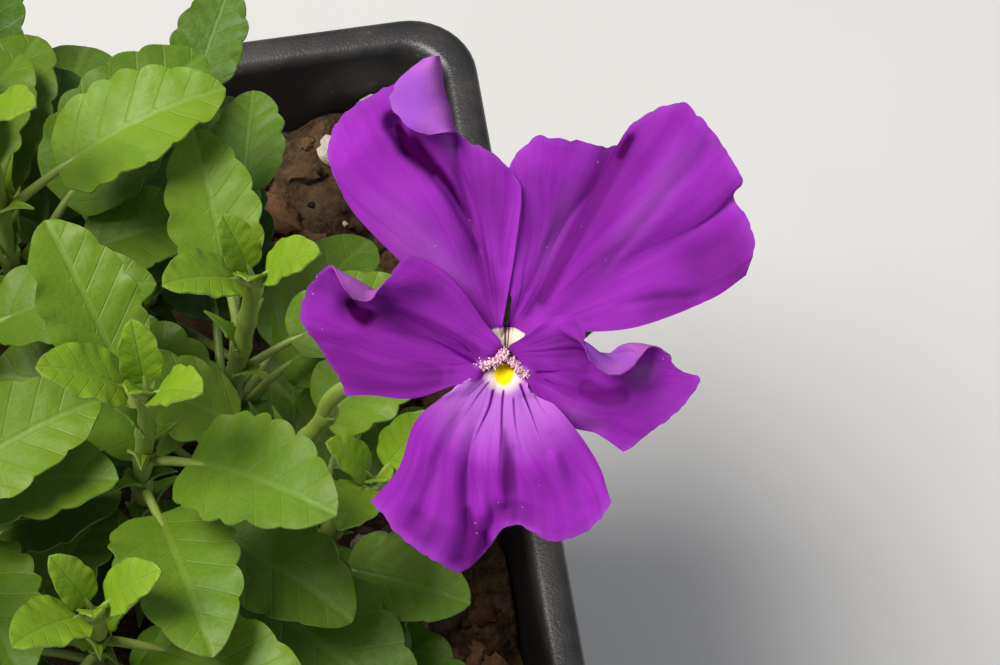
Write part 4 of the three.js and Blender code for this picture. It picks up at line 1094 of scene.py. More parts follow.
LOWER = dict(
    root=(228, 312),
    throat=[(-2.2, -1.5, -0.2), (0, -0.2, -0.9), (2.1, -1.5, 0.1)],
    middle=(-1.4, -8.6),
    sides=[(-7.7, -5.2, 0.9, -9.3, -9.2, 0.8), (5.4, -4.8, 1.4, 8.1, -8.8, 0.6)],
    rays=[
        (-11.7, -12.2, 0.2, 0.9), (-10.2, -14.2, 0.5, 0.9), (-8.2, -16.2, 0.3, 0.7),
        (-6.2, -17.6, -0.2, 0.3), (-3.7, -18.3, -0.8, 0.0), (-1.7, -16.8, -1.4, 0.5),
        (-0.6, -15.1, 0.0, 0.9), (1.2, -14.5, 1.0, 0.6), (4.3, -15.8, 0.8, 0.8),
        (7.0, -15.0, 0.5, 1.0), (8.6, -13.6, 0.3, 1.2), (9.2, -12.0, 0.3, 1.4),
    ],
)
ROOT_RADIUS, ROOT_Z = 2.3, -4.2
NEAR, RIDGE = 0.4, 0.82


def ray_stations(petal, i):
    """The six stations of a ray: root, throat, near, halfway, ridge and margin."""
    rays, sides = petal["rays"], petal["sides"]
    share = i / (len(rays) - 1)
    root = ROOT_RADIUS * spoke(mix(*petal["root"], share) * RAD) + ROOT_Z * UPWARD
    a, b, c = (np.array(point, float) for point in petal["throat"])
    throat = mix(a, b, 2 * share) if share < 0.5 else mix(b, c, 2 * share - 1)
    x, y, z, halfway_z, *turned = rays[i]
    margin = np.array([x, y, z], float)
    weights = [(1 - share) * (1 - 2 * share), 4 * share * (1 - share), share * (2 * share - 1)]
    controls = [sides[0][:2], petal["middle"], sides[1][:2]]
    spread = sum(w * np.array(point, float) for w, point in zip(weights, controls))
    halfway = np.array([*spread, halfway_z])
    ridge = mix(throat, margin, RIDGE)
    ridge[2] = mix(halfway_z, z, 0.66)
    for side, weight in ((0, (1 - share) ** 2), (1, share**2)):
        straight = mix((a, c)[side], np.array(rays[-side][:3], float), RIDGE)
        ridge[:2] += weight * (np.array(sides[side][3:5]) - straight[:2])
    if i in (0, len(rays) - 1):
        edge = sides[0 if i == 0 else 1]
        halfway[2], ridge[2] = edge[2], edge[5]
    calm = np.mean([ray[3] for ray in rays[max(0, i - 2):i + 3]])
    near = mix(throat, halfway, NEAR)
    near[2] = mix(throat[2], calm, NEAR)
    return [root, throat, near, halfway, np.array(turned, float) if turned else ridge, margin]


def petal_grid(petal, columns, rows):
    """The petal's surface as a grid: rows along the rays, columns from ray to ray."""
    stations = np.array([ray_stations(petal, i) for i in range(len(petal["rays"]))])
    return catmull(catmull(stations, columns).transpose(1, 0, 2), rows)


def flap_grid(columns, rows):
    hinge, margin = catmull(FLAP_HINGE, columns), catmull(FLAP_MARGIN, columns)
    t = np.asarray(rows)[:, None, None]
    grid = mix(hinge[None], margin[None], t)
    grid[..., 2:] += FLAP_RISE * np.sin(math.pi * np.sqrt(t))
    return grid


# ---- What the petals' folds and colours add to those surfaces ----
# Folds by petal: height at the start and end, half width at the start and end, line in the face.
FOLDS = {
    "upper_left": [
        (0.5, 0.2, 3.0, 1.6, [(-6.0, 19.0), (-3.6, 15.4), (-1.8, 11.0), (-1.0, 7.0)]),
        (-1.7, -0.2, 1.1, 0.3, [
            (-9.5, 20.9), (-8.2, 18.9), (-6.4, 17.0), (-5.0, 15.2), (-4.1, 13.3), (-2.4, 10.0),
        ]),
        (-0.3, -0.2, 1.6, 0.8, [(0.6, 16.0), (0.6, 13.0), (0.2, 8.5)]),
        (1.0, 0.4, 2.8, 1.4, [(-12.8, 18.0), (-8.6, 12.0), (-4.4, 6.4)]),
    ],
    "upper_right": [
        (1.3, 1.1, 2.2, 1.6, [(0.9, 17.0), (0.9, 12.0), (0.7, 6.0)]),
        (-0.9, -0.3, 1.4, 0.8, [(10.5, 19.3), (8.0, 14.4), (5.2, 9.5), (2.5, 4.1)]),
        (0.8, 0.4, 2.6, 1.2, [(16.2, 19.9), (11.5, 13.9), (6.5, 8.2), (4.4, 5.4)]),
        (-0.12, -0.05, 0.6, 0.4, [(17.8, 18.9), (12.1, 11.9), (8.9, 8.5)]),
        (0.15, 0.1, 0.9, 0.5, [(18.7, 17.0), (12.8, 11.6), (10.3, 9.2)]),
        (-0.2, -0.05, 0.7, 0.5, [(20.1, 14.5), (17.3, 12.4), (14.5, 11.0)]),
        (-0.3, -0.1, 0.6, 0.4, [(17.0, 5.8), (12.5, 5.4), (10.3, 5.1)]),
    ],
    "side_left": [
        (-1.3, -0.2, 1.1, 0.6, [(-13.4, 4.7), (-11.0, 4.7), (-7.0, 2.6), (-3.4, 0.3)]),
        (0.6, 0.2, 1.4, 0.7, [(-17.0, 3.1), (-12.4, 2.6), (-7.6, 0.7), (-5.2, -0.2)]),
    ],
    "side_right": [
        (-0.5, -0.2, 1.2, 1.0, [(7.2, -2.0), (8.6, -2.6), (10.2, -2.4)]),
        (0.5, 0.2, 1.0, 0.6, [(5.0, 2.5), (6.2, 1.2), (6.8, 0.1)]),
    ],
    "lower": [
        (-0.2, -1.1, 0.5, 0.9, [(-2.5, -6.4), (-3.3, -9.6), (-3.3, -13.9), (-3.9, -17.4)]),
        (0.2, 0.8, 0.7, 0.9, [(-1.9, -6.2), (-1.9, -11.0), (-1.9, -13.2)]),
        (0.3, 0.7, 0.4, 0.7, [(-0.4, -6.1), (-0.5, -10.3), (-0.5, -12.2)]),
        (-0.7, -0.5, 0.5, 0.5, [(-1.8, -15.0), (-1.4, -16.5), (-0.3, -15.0)]),
        (-0.4, -0.8, 0.7, 1.0, [(0.9, -8.0), (1.2, -12.0), (1.4, -14.5)]),
        (-0.3, -0.4, 0.5, 0.6, [(1.8, -3.0), (2.8, -6.1), (3.8, -7.8)]),
        (-0.2, -0.5, 0.5, 1.0, [(-3.8, -5.0), (-6.0, -9.0), (-7.4, -13.5)]),
        (-0.2, -0.5, 0.6, 1.1, [(4.2, -6.5), (6.0, -9.5), (6.9, -12.5)]),
        (0.3, 0.25, 0.4, 0.4, [(-2.5, -1.7), (-3.3, -2.6), (-5.0, -3.1)]),
    ],
}
# Marks by petal: strength, half width at the start and end, line. Guides lead to the nectar.
GUIDES = {
    "upper_left": [
        (0.6, 0.09, 0.05, [(-0.4, 3.2), (-0.15, 1.3)]),
    ],
    "upper_right": [
        (1.0, 0.13, 0.08, [(0.05, 3.3), (0.0, 1.0)]),
        (0.9, 0.1, 0.06, [(0.42, 3.4), (0.2, 1.2)]),
        (0.5, 0.05, 0.02, [(0.75, 3.1), (0.5, 1.6)]),
    ],
    "side_left": [
        (1.0, 0.24, 0.04, [(-2.7, 0.0), (-4.5, 1.0), (-6.4, 1.95), (-7.4, 2.5)]),
        (0.9, 0.14, 0.03, [(-3.1, 1.0), (-3.9, 1.7), (-5.4, 2.6)]),
        (0.4, 0.08, 0.03, [(-3.3, -0.1), (-4.6, -0.2), (-6.2, 0.2)]),
    ],
    "side_right": [
        (1.0, 0.16, 0.03, [(2.8, -0.85), (4.2, -0.8), (6.6, -0.65)]),
        (0.7, 0.11, 0.03, [(3.5, -1.5), (4.4, -1.9), (5.8, -2.3)]),
    ],
    "lower": [
        (0.6, 0.09, 0.03, [(-1.9, -1.6), (-3.0, -2.6), (-4.6, -3.6)]),
        (0.85, 0.11, 0.03, [(-1.5, -1.8), (-2.3, -2.8), (-3.1, -4.0), (-4.4, -6.0)]),
        (1.0, 0.15, 0.03, [(-1.1, -2.5), (-1.4, -3.9), (-2.0, -5.4), (-2.8, -7.4), (-4.2, -10.6)]),
        (1.0, 0.14, 0.03, [(-0.1, -2.6), (-0.25, -4.0), (-0.35, -6.0), (-0.5, -8.5), (-0.6, -12.0)]),
        (0.85, 0.11, 0.03, [(0.75, -3.2), (0.85, -4.7), (1.1, -6.4), (1.9, -9.0)]),
        (1.0, 0.15, 0.03, [(1.4, -2.0), (1.8, -3.0), (2.4, -4.6), (3.1, -6.6), (4.6, -9.2)]),
        (0.6, 0.08, 0.03, [(2.3, -2.2), (2.7, -3.1), (3.3, -4.1), (4.6, -5.6)]),
    ],
}
# Painted shade: where a petal is darker than its shape's own shading makes it, in its grooves and valleys,
# under its curls and flap, and on parts turned from the light.
PAINTED_SHADE = {
    "upper_left": [
        (1.0, 0.4, 1.0, [(-9.4, 20.7), (-9.0, 19.8), (-8.4, 18.7)]),
        (1.0, 1.3, 0.7, [(-8.3, 19.0), (-7.2, 17.9), (-6.2, 16.8)]),
        (0.95, 0.64, 0.08, [(-6.2, 17.1), (-4.8, 15.4), (-4.0, 13.9), (-3.1, 12.4), (-2.5, 10.4)]),
        (0.36, 0.9, 1.0, [(-3.9, 14.4), (-2.5, 10.4), (-1.2, 6.4), (-0.6, 3.6)]),
        (0.24, 3.2, 1.2, [(-4.4, 18.8), (-2.2, 14.0), (-1.0, 8.0)]),
    ],
    "upper_right": [
        (0.55, 1.3, 0.7, [(10.1, 18.5), (8.0, 14.3), (5.3, 9.4), (3.3, 5.6)]),
        (0.37, 2.0, 1.2, [(15.4, 24.4), (11.5, 18.0), (8.0, 12.2), (4.0, 5.6)]),
        (0.9, 0.5, 0.55, [(11.1, 19.7), (10.3, 18.2)]),
        (0.37, 2.8, 2.6, [(23.0, 10.4), (14.0, 7.2)]),
        (0.34, 1.3, 1.1, [(18.4, 6.2), (11.2, 4.9)]),
        (0.1, 1.4, 1.2, [(3.4, 15.0), (2.6, 9.0)]),
    ],
    "side_left": [
        (1.0, 0.6, 1.0, [(-13.6, 5.2), (-13.1, 4.4), (-12.3, 3.9)]),
        (1.0, 1.0, 0.3, [(-12.6, 4.1), (-11.6, 4.1), (-10.4, 4.7)]),
        (0.5, 1.6, 1.1, [(-10.8, 3.8), (-8.0, 3.2), (-5.4, 2.2), (-3.0, 0.9)]),
        (0.42, 2.4, 1.3, [(-14.4, -0.4), (-10.8, -1.4), (-6.4, -1.2)]),
    ],
    "side_right": [
        (0.55, 1.1, 1.0, [(7.2, -2.3), (8.8, -3.1), (10.2, -2.9)]),
        (0.25, 1.6, 1.4, [(3.6, -1.2), (8.0, -2.6)]),
        (0.3, 2.2, 1.8, [(4.2, 2.2), (6.0, 0.2), (8.2, -2.4)]),
    ],
    "lower": [
        (0.18, 0.5, 1.0, [(-2.6, -7.0), (-3.3, -10.0), (-3.0, -14.0)]),
        (0.62, 0.6, 1.1, [(-3.3, -13.2), (-3.0, -15.6), (-3.2, -17.8)]),
        (0.3, 1.4, 1.2, [(-10.0, -12.8), (-7.4, -14.4), (-4.6, -16.0)]),
        (0.36, 1.3, 1.3, [(-2.2, -13.0), (0.8, -13.0), (4.4, -14.2)]),
        (0.36, 0.5, 1.1, [(0.2, -6.0), (0.4, -10.0), (0.4, -13.5)]),
        (0.2, 1.2, 1.6, [(2.0, -9.0), (3.0, -13.5)]),
        (0.5, 0.5, 0.5, [(-1.9, -15.2), (-1.4, -16.4)]),
        (0.12, 0.8, 2.0, [(-4.4, -5.8), (-8.6, -13.2)]),
        (0.25, 0.3, 0.5, [(-5.4, -8.0), (-7.4, -12.0)]),
        (0.2, 0.3, 0.5, [(4.4, -7.0), (5.6, -11.0)]),
    ],
}
# Where it is paler: the rims beside the throat and the pink ground of the beard, the petals' own colour, and
# painted light on the lit shoulders and on spots that the shape's shading leaves darker.
PALE_AND_PAINTED_LIGHT = {
    "upper_left": [
        (0.14, 2.4, 1.0, [(-12.2, 15.4), (-8.4, 11.2), (-5.0, 7.8), (-2.6, 5.0)]),
        (0.16, 0.8, 0.5, [(-5.9, 19.7), (-4.9, 19.3), (-4.4, 17.0)]),
    ],
    "upper_right": [
        (0.1, 1.6, 1.0, [(17.4, 21.0), (13.0, 14.2), (7.4, 7.0)]),
        (0.1, 1.3, 0.9, [(6.6, 16.4), (4.4, 11.6), (2.6, 6.8)]),
    ],
    "side_left": [(0.5, 0.35, 0.35, [(-2.4, -0.2), (-1.2, 0.1), (-0.5, 0.4)])],
    "side_right": [
        (0.5, 0.35, 0.35, [(0.4, 0.4), (1.0, -0.2), (1.9, -0.9)]),
        (0.3, 1.0, 0.9, [(10.4, -0.9), (12.0, -1.1), (13.0, 0.5)]),
        (0.14, 0.8, 0.8, [(3.8, -3.6), (7.0, -5.0), (9.4, -6.2)]),
    ],
}
TONE = {"side_left": 0.2, "side_right": 0.17}  # how much darker than the rest a whole petal is
PETALS = {
    "upper_left": UPPER_LEFT, "upper_right": UPPER_RIGHT,
    "side_left": SIDE_LEFT, "side_right": SIDE_RIGHT, "lower": LOWER,
}
PETAL_VALUES = ("along", "across", "pale", "fold", "back", "guide", "cream", "yellow")


STEEP = -1.4  # a fold deeper than this has steep walls and a flat bottom


def add_relief(grid, folds):
    """Raises the sheet's points along its folds, towards the viewer."""
    x, y = grid[..., 0].copy(), grid[..., 1].copy()
    for start, end, wide, narrow, line in folds:
        distance, share = from_line(x, y, line)
        power = 4 if start < STEEP else 2
        grid[..., 2] += mix(start, end, share) * np.exp(-((distance / mix(wide, narrow, share)) ** power))


FAINT = 0.38  # marks weaker than this fade at both ends


def marks(x, y, lines, softness=0.5):
    """How strongly lines are drawn at points of the face."""
    drawn = np.zeros(x.shape)
    for strength, start, end, line in lines:
        distance, share = from_line(x, y, line)
        half = mix(start, end, share)
        inside = np.clip((half * (1 + softness) - distance) / (2 * softness * half), 0, 1)
        fade = np.clip(1.8 * (1 - share), 0, 1) if end < start / 2 else 1
        if strength < FAINT:
            fade = np.clip(3 * share, 0, 1) * np.clip(3 * (1 - share), 0, 1)
        drawn = np.maximum(drawn, strength * inside**1.5 * fade)
    return drawn


SOFT = {"upper_left": 11, "upper_right": 7}  # over how many columns a petal's height is smoothed
# Corners that stand out of a petal's rounded margin: x, y, reach, shift in x, shift in y.
TIPS = {
    "upper_left": [(-4.0, 19.6, 0.9, 0.3, 0.4)],
    "upper_right": [
        (15.7, 22.3, 0.7, 0.1, 0.3), (3.4, 19.7, 0.7, 0.0, 0.25), (21.9, 10.6, 0.8, 0.1, -0.1),
    ],
    "side_left": [(-14.0, -2.8, 0.8, 0.0, -0.2)],
    "lower": [(-11.7, -12.2, 0.7, -0.1, 0.0), (8.9, -12.8, 0.8, 0.1, 0.0)],
}


def soften(grid, width):
    """Smooths the sheet's height from ray to ray."""
    steps = np.arange(-3 * width, 3 * width + 1)
    weights = np.exp(-0.5 * (steps / width) ** 2)
    padded = np.pad(grid[..., 2], ((0, 0), (3 * width, 3 * width)), "edge")
    for row, heights in zip(grid, padded):
        row[:, 2] = np.convolve(heights, weights / weights.sum(), "valid")


def pull_tips(grid, tips):
    """Draws out the margin's sharp corners."""
    for x, y, reach, dx, dy in tips:
        near = np.exp(-(((grid[..., 0] - x) ** 2 + (grid[..., 1] - y) ** 2) / reach**2) ** 0.7)
        grid[..., 0] += dx * near
        grid[..., 1] += dy * near


PETAL_THICKNESS, FLAP_THICKNESS = (0.30, 0.13), 0.26  # a petal is thinner at its margin
CLAW = 0.2  # the share of an upper petal's length that lies behind the throat
FIRST, LAST = 0, 1
# How far a petal's first or last margin reaches under its neighbour, at shares of its length, in x and y.
UNDERLAP = {
    "upper_right": [(FIRST, (0, 0.2, 0.27, 0.42, 0.52, 1), (-0.5, -0.6, 0, 0.05, -0.6, -0.8), (0,) * 6)],
    "side_right": [(LAST, (0, 0.1, 0.3, 0.55, 0.75), (0, -0.5, -0.6, -0.2, 0), (0, -0.9, -1.4, -0.5, 0))],
    "side_left": [(LAST, (0, 0.1, 0.25, 0.45, 0.6), (0, 0.1, 0.1, 0.1, 0), (0, -0.5, -0.8, -0.3, 0))],
    "lower": [
        (FIRST, (0, 0.16, 0.35, 0.6, 0.8), (0, -0.55, -0.5, -0.1, 0), (0, 0.1, 0.45, 0.1, 0)),
        (LAST, (0, 0.18, 0.32, 0.5, 0.7), (0, -0.2, -0.5, -0.1, 0), (0, -0.3, -0.6, 0.0, 0)),
    ],
}


def set_claw(grid, t):
    """Turns an upper petal's claw to the viewer, down to the stamens, before it goes back to the root."""
    behind = t < CLAW
    mouth = grid[behind.sum()]
    steps = [mouth]
    for narrow, y, z in ((0.9, 2.2, -2.1), (0.75, 1.05, -2.1), (0.6, 1.5, -3.2), (0.7, 1.9, -4.3)):
        steps.append(np.stack([narrow * mouth[:, 0], 0 * mouth[:, 0] + y, 0 * mouth[:, 0] + z], -1))
    grid[behind] = catmull(steps, 1 - t[behind] / CLAW)


def roughen(grid, s, t, seed):
    """Gives a petal its fine teeth, its wavy margin, its pleats and its slight unevenness."""
    x, y = grid[..., 0], grid[..., 1]
    edge = np.clip((t - 0.88) / 0.12, 0, 1) ** 2
    arc = np.concatenate([[0], np.cumsum(np.linalg.norm(np.diff(grid[-1], axis=0), axis=1))])
    along = lambda cell, number: smooth_noise(arc, 0 * arc, cell, seed + number)
    tooth = 0.13 * along(0.5, 0) + 0.16 * along(1.5, 1)
    ruffle = 0.24 * along(2.3, 2) + 0.08 * along(0.9, 3)
    pleats = 0.05 * smooth_noise(22 * s, 2.5 * t, 1.0, seed + 4) * np.clip(4 * t - 1, 0, 1)
    waves = 0.14 * smooth_noise(x, y, 2.8, seed + 5) * np.clip(3 * t - 0.8, 0, 1)
    outward = unit(grid[-1] - grid[-12])
    lift = edge * ruffle + pleats + waves
    return grid + outward * (edge * tooth)[..., None] + grid_normals(grid) * lift[..., None]


def throat_colours(kind, x, y, s, t):
    """Where a petal is cream, yellow and pale round the throat."""
    cream, yellow, pale = 0.0, 0.0, 0.0
    if kind == "upper":
        cream = np.clip((CLAW + 0.01 - t) / 0.015, 0, 1)
    if kind == "lower":
        cream = 0.85 * np.clip((2.0 - np.hypot(x + 0.1, y + 1.0)) / 0.9, 0, 1)
        yellow = np.clip((1.15 - np.hypot((x + 0.1) / 0.85, (y + 0.95) / 1.1)) / 0.2, 0, 1)
        rim = np.exp(-((np.minimum(s, 1 - s) / 0.026) ** 2)) * np.clip(1.6 - abs(t - 0.3) / 0.12, 0, 1)
        pale = np.maximum(0.56 * np.clip((9.5 - np.hypot(x, y)) / 6.5, 0, 1), rim)
    return cream, yellow, pale


def darkness(side, x, y):
    """How dark a petal is made: its own darker tone and its marks of painted shade, a firm middle in a soft
    surround.
    """
    dark = PAINTED_SHADE.get(side, ())
    firm = np.maximum(marks(x, y, dark, 0.4), TONE.get(side, 0.0))
    wider = [(strength, 1.9 * start, 1.9 * end, line) for strength, start, end, line in dark]
    return firm + (1 - firm) * 0.4 * marks(x, y, wider, 0.8)


def add_petal(shape, petal, stem, seed, kind, folds, side="", guides=(), size=(132, 104)):
    """One petal: kind is upper, side or lower; side names a petal of the photographed bloom."""
    columns, rows = size
    clockwise = petal["root"][1] < petal["root"][0]
    s = np.linspace(0, 1, columns + 1)[:: 1 if clockwise else -1]
    t = np.linspace(0, 1, rows + 1) ** 0.9
    grid = petal_grid(petal, s, t)
    if side in SOFT:
        soften(grid, SOFT[side])
    add_relief(grid, folds)
    pull_tips(grid, TIPS.get(side, ()))
    if kind == "upper":
        set_claw(grid, t)
    s, t = s[None, :], t[:, None]
    for margin, share, *shifts in UNDERLAP.get(side, ()):
        for axis, shift in enumerate(shifts):
            grid[..., axis] += np.interp(t, share, shift) * (s if margin == LAST else 1 - s) ** 3
    x, y = grid[..., 0].copy(), grid[..., 1].copy()
    grid = roughen(grid, s, t, seed)
    thin = mix(*PETAL_THICKNESS, np.clip((t - 0.86) / 0.14, 0, 1) ** 0.7)
    cream, yellow, pale = throat_colours(kind, x, y, s, t)
    pale = np.maximum(pale, marks(x, y, PALE_AND_PAINTED_LIGHT.get(side, ())))
    shape.add_sheet(
        from_face(grid, stem), thin * stem.scale, along=t, across=s + seed, back=BELOW,
        fold=darkness(side, x, y), pale=pale * ABOVE, guide=marks(x, y, guides) * ABOVE,
        cream=cream, yellow=yellow * ABOVE,
    )


def add_flap(shape, stem):
    """The top of the upper left petal, folded over, so that its paler back is seen."""
    grid = flap_grid(np.linspace(0, 1, 61), np.linspace(0, 1, 41))[:, ::-1]
    rows, columns = grid.shape[:2]
    t, arc = np.linspace(0, 1, rows)[:, None], np.linspace(0, 10, columns)
    edge = np.clip((t - 0.8) / 0.2, 0, 1)
    outward = unit(grid[-1] - grid[-6])
    grid = grid + outward * (edge**2 * 0.25 * smooth_noise(arc, 0 * arc, 0.8, 91))[..., None]
    uneven = 0.12 * smooth_noise(grid[..., 0], grid[..., 1], 1.6, 92)
    grid = grid + grid_normals(grid) * uneven[..., None]
    # Painted shade in the crease where the flap folds over, darkest at its hinge.
    fold = 0.28 * np.exp(-((t / 0.3) ** 2))
    across = np.linspace(0, 0.5, columns)
    values = dict(along=mix(0.62, 1, t), across=across, back=1.0, fold=fold)
    shape.add_sheet(from_face(grid, stem), FLAP_THICKNESS, **values)


SPUR_PATH = [(0, -2.7, -2.8), (0, -3.9, -4.8), (0, -4.9, -8), (0, -5.0, -12.5)]
SPUR_RADIUS = 1.1


def add_spur(shape, stem, slot):
    share = np.linspace(0, 1, 30)
    path = catmull(SPUR_PATH, share)
    radius = SPUR_RADIUS * np.interp(share, [0, 0.3, 0.7, 1], [1.15, 1.0, 0.85, 0.95]) * blunt(share, 9)
    shape.add(*tube(from_face(path, stem), radius * stem.scale, 20), slot)


# Tufts of the beard: how many hairs, which way they lean, and the line that they stand on.
TUFTS = [
    (150, (0.25, -0.75, 0.75), [(-2.5, -0.2, 0.2), (-1.9, -0.1, 0.25), (-1.2, 0.1, 0.3), (-0.5, 0.3, 0.35)]),
    (70, (0, -0.8, 0.7), [(-0.6, 0.4, 0.5), (-0.2, 0.8, 0.5), (0.1, 0.5, 0.5)]),
    (150, (-0.35, -0.7, 0.75), [(0.5, 0.3, 0.3), (1.0, -0.2, 0.2), (1.5, -0.7, 0.1), (2.0, -1.0, 0.1)]),
]


def add_hairs(shape, stem, slot, seed):
    """The beard: short club-shaped hairs on the side petals, round the mouth of the throat."""
    draw = np.random.default_rng(seed)
    for count, lean, line in TUFTS:
        for _ in range(count):
            root = catmull(line, [draw.uniform(0, 1)])[0] + draw.normal(0, 1, 3) * (0.16, 0.16, 0.05)
            ahead = unit(np.array(lean) + draw.normal(0, 0.35, 3))
            long = draw.uniform(0.35, 0.75)
            bend = draw.normal(0, 0.08, 3)
            steps = np.linspace(0, 1, 6)
            path = root - 0.15 * ahead + np.outer(steps, ahead) * long + np.outer(steps**2, bend)
            thick = np.array([0.045, 0.045, 0.05, 0.07, 0.085, 0.05]) * draw.uniform(0.8, 1.2)
            shape.add(*tube(from_face(path, stem), thick * stem.scale, 6), slot)


def add_stamens(shape, stem, slots):
    """Five anthers round the pistil, with their orange tips, and its rounded stigma between them."""
    anther, tip, stigma = slots
    for k in range(5):
        out, axis = spoke((90 + 72 * k) * RAD), (0, 0.5, 0)
        z = np.linspace(-4.45, -2.75, 10)[:, None]
        path = axis + out * np.interp(z, [-4.5, -3.3, -2.7], [0.62, 0.6, 0.42]) + UPWARD * z
        radius = 0.36 * blunt(np.linspace(0, 1, 10), 8)
        shape.add(*tube(from_face(path, stem), radius * stem.scale, 12), anther)
        z = np.linspace(-2.85, -2.15, 7)[:, None]
        path = axis + out * np.linspace(0.42, 0.24, 7)[:, None] + UPWARD * z
        radius = 0.24 * blunt(np.linspace(0, 1, 7), 3)
        shape.add(*tube(from_face(path, stem), radius * stem.scale, 10), tip)
    share = np.linspace(0, 1, 14)
    path = np.outer(1 - share, [0, 0.5, -3.4]) + np.outer(share, [0, 0.25, -1.85])
    radius = np.interp(share, [0, 0.45, 0.7, 1], [0.16, 0.2, 0.46, 0.42]) * blunt(share, 7)
    shape.add(*tube(from_face(path, stem), radius * stem.scale, 16), stigma)


def make_main_bloom(stem):
    for number, (side, petal) in enumerate(PETALS.items()):
        shape = Shape(*PETAL_VALUES)
        kind = side.split("_")[0]
        add_petal(shape, petal, stem, 10 * number, kind, FOLDS[side], side, GUIDES[side])
        if side == "upper_left":
            add_flap(shape, stem)
        if side == "lower":
            add_spur(shape, stem, 1)
        shape.piece(f"petal_{side}_fine", [PETAL, SPUR], "petal", f"petal_{side}", sharp=75)
    heart = Shape()
    add_stamens(heart, stem, (0, 1, 2))
    heart.piece("stamens_and_stigma", [ANTHER, ANTHER_TIP, STIGMA], "stamen", "stamen_cone")
    beard = Shape()
    add_hairs(beard, stem, 0, 5)
    beard.piece("beard_hairs", [HAIR], "stamen")


# ---- The other blooms ----
# Kind, direction and half spread in degrees, length, height of the rim and of the middle.
PLAIN_PETALS = [
    ("upper", 122, 36, 20, -2.2, -3.0), ("upper", 58, 36, 20, -1.2, -2.0),
    ("side", 192, 34, 17, 0.6, -0.4), ("side", -12, 34, 17, 0.6, -0.4), ("lower", 270, 40, 17, 1.2, 1.6),
]
PLAIN_RAYS, PLAIN_THROAT = 6, 2.2


def plain_petal(direction, spread, length, rim_z, halfway_z):
    fan = lambda share: (direction + spread * (1 - 2 * share)) * RAD
    rays = []
    for share in np.linspace(0, 1, PLAIN_RAYS + 1):
        reach, turn = length * (1 - 0.28 * (2 * share - 1) ** 4), fan(share)
        wave = 0.7 * math.sin(7 * turn)
        rays.append((reach * math.cos(turn), reach * math.sin(turn), rim_z + wave, halfway_z))
    throat_z = mix(halfway_z, -1.5, 0.7)
    throat = [PLAIN_THROAT * spoke(fan(share)) + throat_z * UPWARD for share in (0.2, 0.5, 0.8)]
    sides = []
    for share in (0, 1):
        turn = fan(share) + (-1 if share else 1) * 0.12
        aim = 0.78 * length * spoke(turn)[:2]
        sides.append((*(0.5 * aim), halfway_z, *(0.8 * aim), mix(halfway_z, rim_z, 0.6)))
    middle = 0.55 * length * spoke(fan(0.5))[:2]
    root = (direction + 0.6 * spread, direction - 0.6 * spread)
    return dict(root=root, throat=throat, middle=middle, sides=sides, rays=rays)


def plain_folds(direction, length):
    """Shallow pleats that fan out over a regular petal."""
    folds = []
    for turn, height in ((-18, -0.6), (-6, 0.6), (8, -0.5), (20, 0.5)):
        aim = length * spoke((direction + turn) * RAD)[:2]
        folds.append((0.1, height, 0.6, 1.3, [0.3 * aim, 0.97 * aim]))
    return folds


def make_plain_bloom(number, stem):
    shape = Shape(*PETAL_VALUES)
    fan_guides = GUIDES["side_left"] + GUIDES["side_right"] + GUIDES["lower"]
    for k, (kind, direction, *form) in enumerate(PLAIN_PETALS):
        add_petal(
            shape, plain_petal(direction, *form), stem, 100 * number + 10 * k, kind,
            plain_folds(direction, form[1]), guides=() if kind == "upper" else fan_guides, size=(84, 70),
        )
    add_spur(shape, stem, 1)
    add_stamens(shape, stem, (2, 3, 4))
    add_hairs(shape, stem, 5, number)
    finishes = [PETAL, SPUR, ANTHER, ANTHER_TIP, STIGMA, HAIR]
    shape.piece(f"bloom_{number}_fine", finishes, "petal", f"bloom_{number}_petals", sharp=75)


# ---- Buds ----
BUD_RINGS = [(-4.5, 1.2), (-3.2, 2.4), (-0.6, 3.2), (2.4, 3.0), (5.2, 2.1), (7.4, 0.8)]


def make_bud(number, stem):
    """Petals rolled into a twisted cone: five overlapping folds round it."""
    share = np.linspace(0, 1, 40)
    profile = catmull(BUD_RINGS, share)
    turn = turns(80)
    phase = (turn * 5 / (2 * math.pi)) % 1
    lap = 1 + 0.09 * (phase - 0.5) * np.clip(1.2 - 8 * np.maximum(phase - 0.88, 0), 0, 1)
    profile[share >= 0.97, 1] *= 0.7
    points, blocks = loft([circle(turn + 0.16 * z, radius * lap, z) for z, radius in profile])
    shape = Shape()
    shape.add(from_face(points, stem), blocks)
    shape.piece(f"bud_{number}_fine", [BUD_PETAL], "bud", f"bud_{number}", sharp=60)


# ---- Assembly ----
make_planter()
make_soil()
scatter("compost_crumbs", CRUMB, 900, (0.8, 3.4), (0.8, 1.5), 0.35)
scatter("bark_chips", BARK, 150, (1.6, 7.0), (1.3, 2.4), 0.3)
scatter(
    "perlite_grains", PERLITE, 90, (0.7, 3.2), (0.8, 1.2), 0.3,
    big=[(43, 45, 3.0), (38, 43.5, 1.6), (46, 37, 1.4)],
)
fill_gaps(grow_leaves())
names = [f"flowering_stem_{i + 1}" for i in range(len(FLOWERING))]
names += [f"budding_stem_{i + 1}" for i in range(len(BUDDING))]
names += [f"leafy_stem_{i + 1:02d}" for i in range(LEAFY_COUNT)]
for name, stem in zip(names, STEMS):
    make_stem(name, stem, OPEN_SEPAL if name.startswith("flowering") else SHUT_SEPAL)
    make_foliage(name, stem)
make_main_bloom(FLOWERING[0])
for number, stem in enumerate(FLOWERING[1:], 2):
    make_plain_bloom(number, stem)
for number, stem in enumerate(BUDDING, 1):
    make_bud(number, stem)

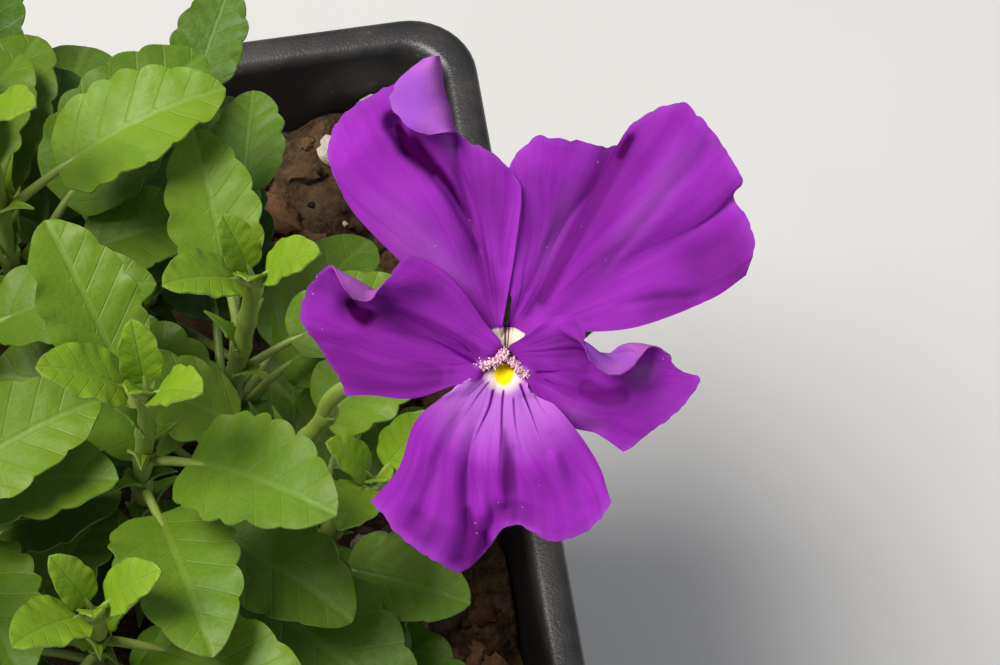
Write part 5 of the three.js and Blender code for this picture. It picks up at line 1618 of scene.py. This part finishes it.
# ---- Floor, light and camera ----
FLOOR_REACH = 3.0
KEY = dict(aim=(-0.62, 0.58, 0.85), distance=0.8, width=0.4, watts=11.0, tint=(1.0, 0.98, 0.95))
FILL = dict(aim=(0.9, -0.3, 0.8), distance=1.2, width=0.9, watts=2.5, tint=(0.93, 0.95, 1.0))
SKY, SKY_STRENGTH = (0.86, 0.9, 1.0, 1), 0.36
VIEW_DISTANCE, LENS, SENSOR = 342, 140, 36
AIM_LEFT, AIM_UP = 0.44, 2.6  # how far the picture's middle lies from the bloom's


def make_floor():
    mesh = bpy.data.meshes.new("floor")
    corners = [(-1, -1, 0), (1, -1, 0), (1, 1, 0), (-1, 1, 0)]
    mesh.from_pydata(np.array(corners) * FLOOR_REACH, [], [(0, 1, 2, 3)])
    matt = fine_finish("studio_floor", colour(202, 200, 196), colour(204, 202, 198), 60.0, 0.8)
    mesh.materials.append(matt)
    floor = add_object("floor", mesh)


def look_along(made, spot, towards):
    """Puts a lamp or camera at a spot, looking away from the towards vector."""
    made.location = Vector(spot)
    made.rotation_euler = Vector(towards).to_track_quat("Z", "Y").to_euler()


def light(name, aim, distance, width, watts, tint):
    """A soft square lamp, which shines on the bloom from a direction of its face frame."""
    lamp = bpy.data.lights.new(name, "AREA")
    lamp.size, lamp.energy, lamp.color = width, watts, tint
    back = unit(np.array(aim)) @ facing(FLOWERING[0])
    look_along(add_object(name, lamp), np.array(BLOOM_CENTRE) * MM + back * distance, back)


def make_world():
    world = bpy.data.worlds.new("studio")
    world.use_nodes = True
    sky = world.node_tree.nodes["Background"].inputs
    sky["Color"].default_value, sky["Strength"].default_value = SKY, SKY_STRENGTH
    bpy.context.scene.world = world


def make_camera():
    lens = bpy.data.cameras.new("photo_camera")
    lens.lens, lens.sensor_width, lens.clip_start = LENS, SENSOR, 0.01
    right, up, towards = facing(FLOWERING[0])
    eye = np.array(BLOOM_CENTRE) + towards * VIEW_DISTANCE - right * AIM_LEFT + up * AIM_UP
    camera = add_object("photo_camera", lens)
    look_along(camera, eye * MM, towards)
    bpy.context.scene.camera = camera
    bpy.context.scene.view_settings.view_transform = "Standard"


make_floor()
light("key", **KEY)
light("fill", **FILL)
make_world()
make_camera()
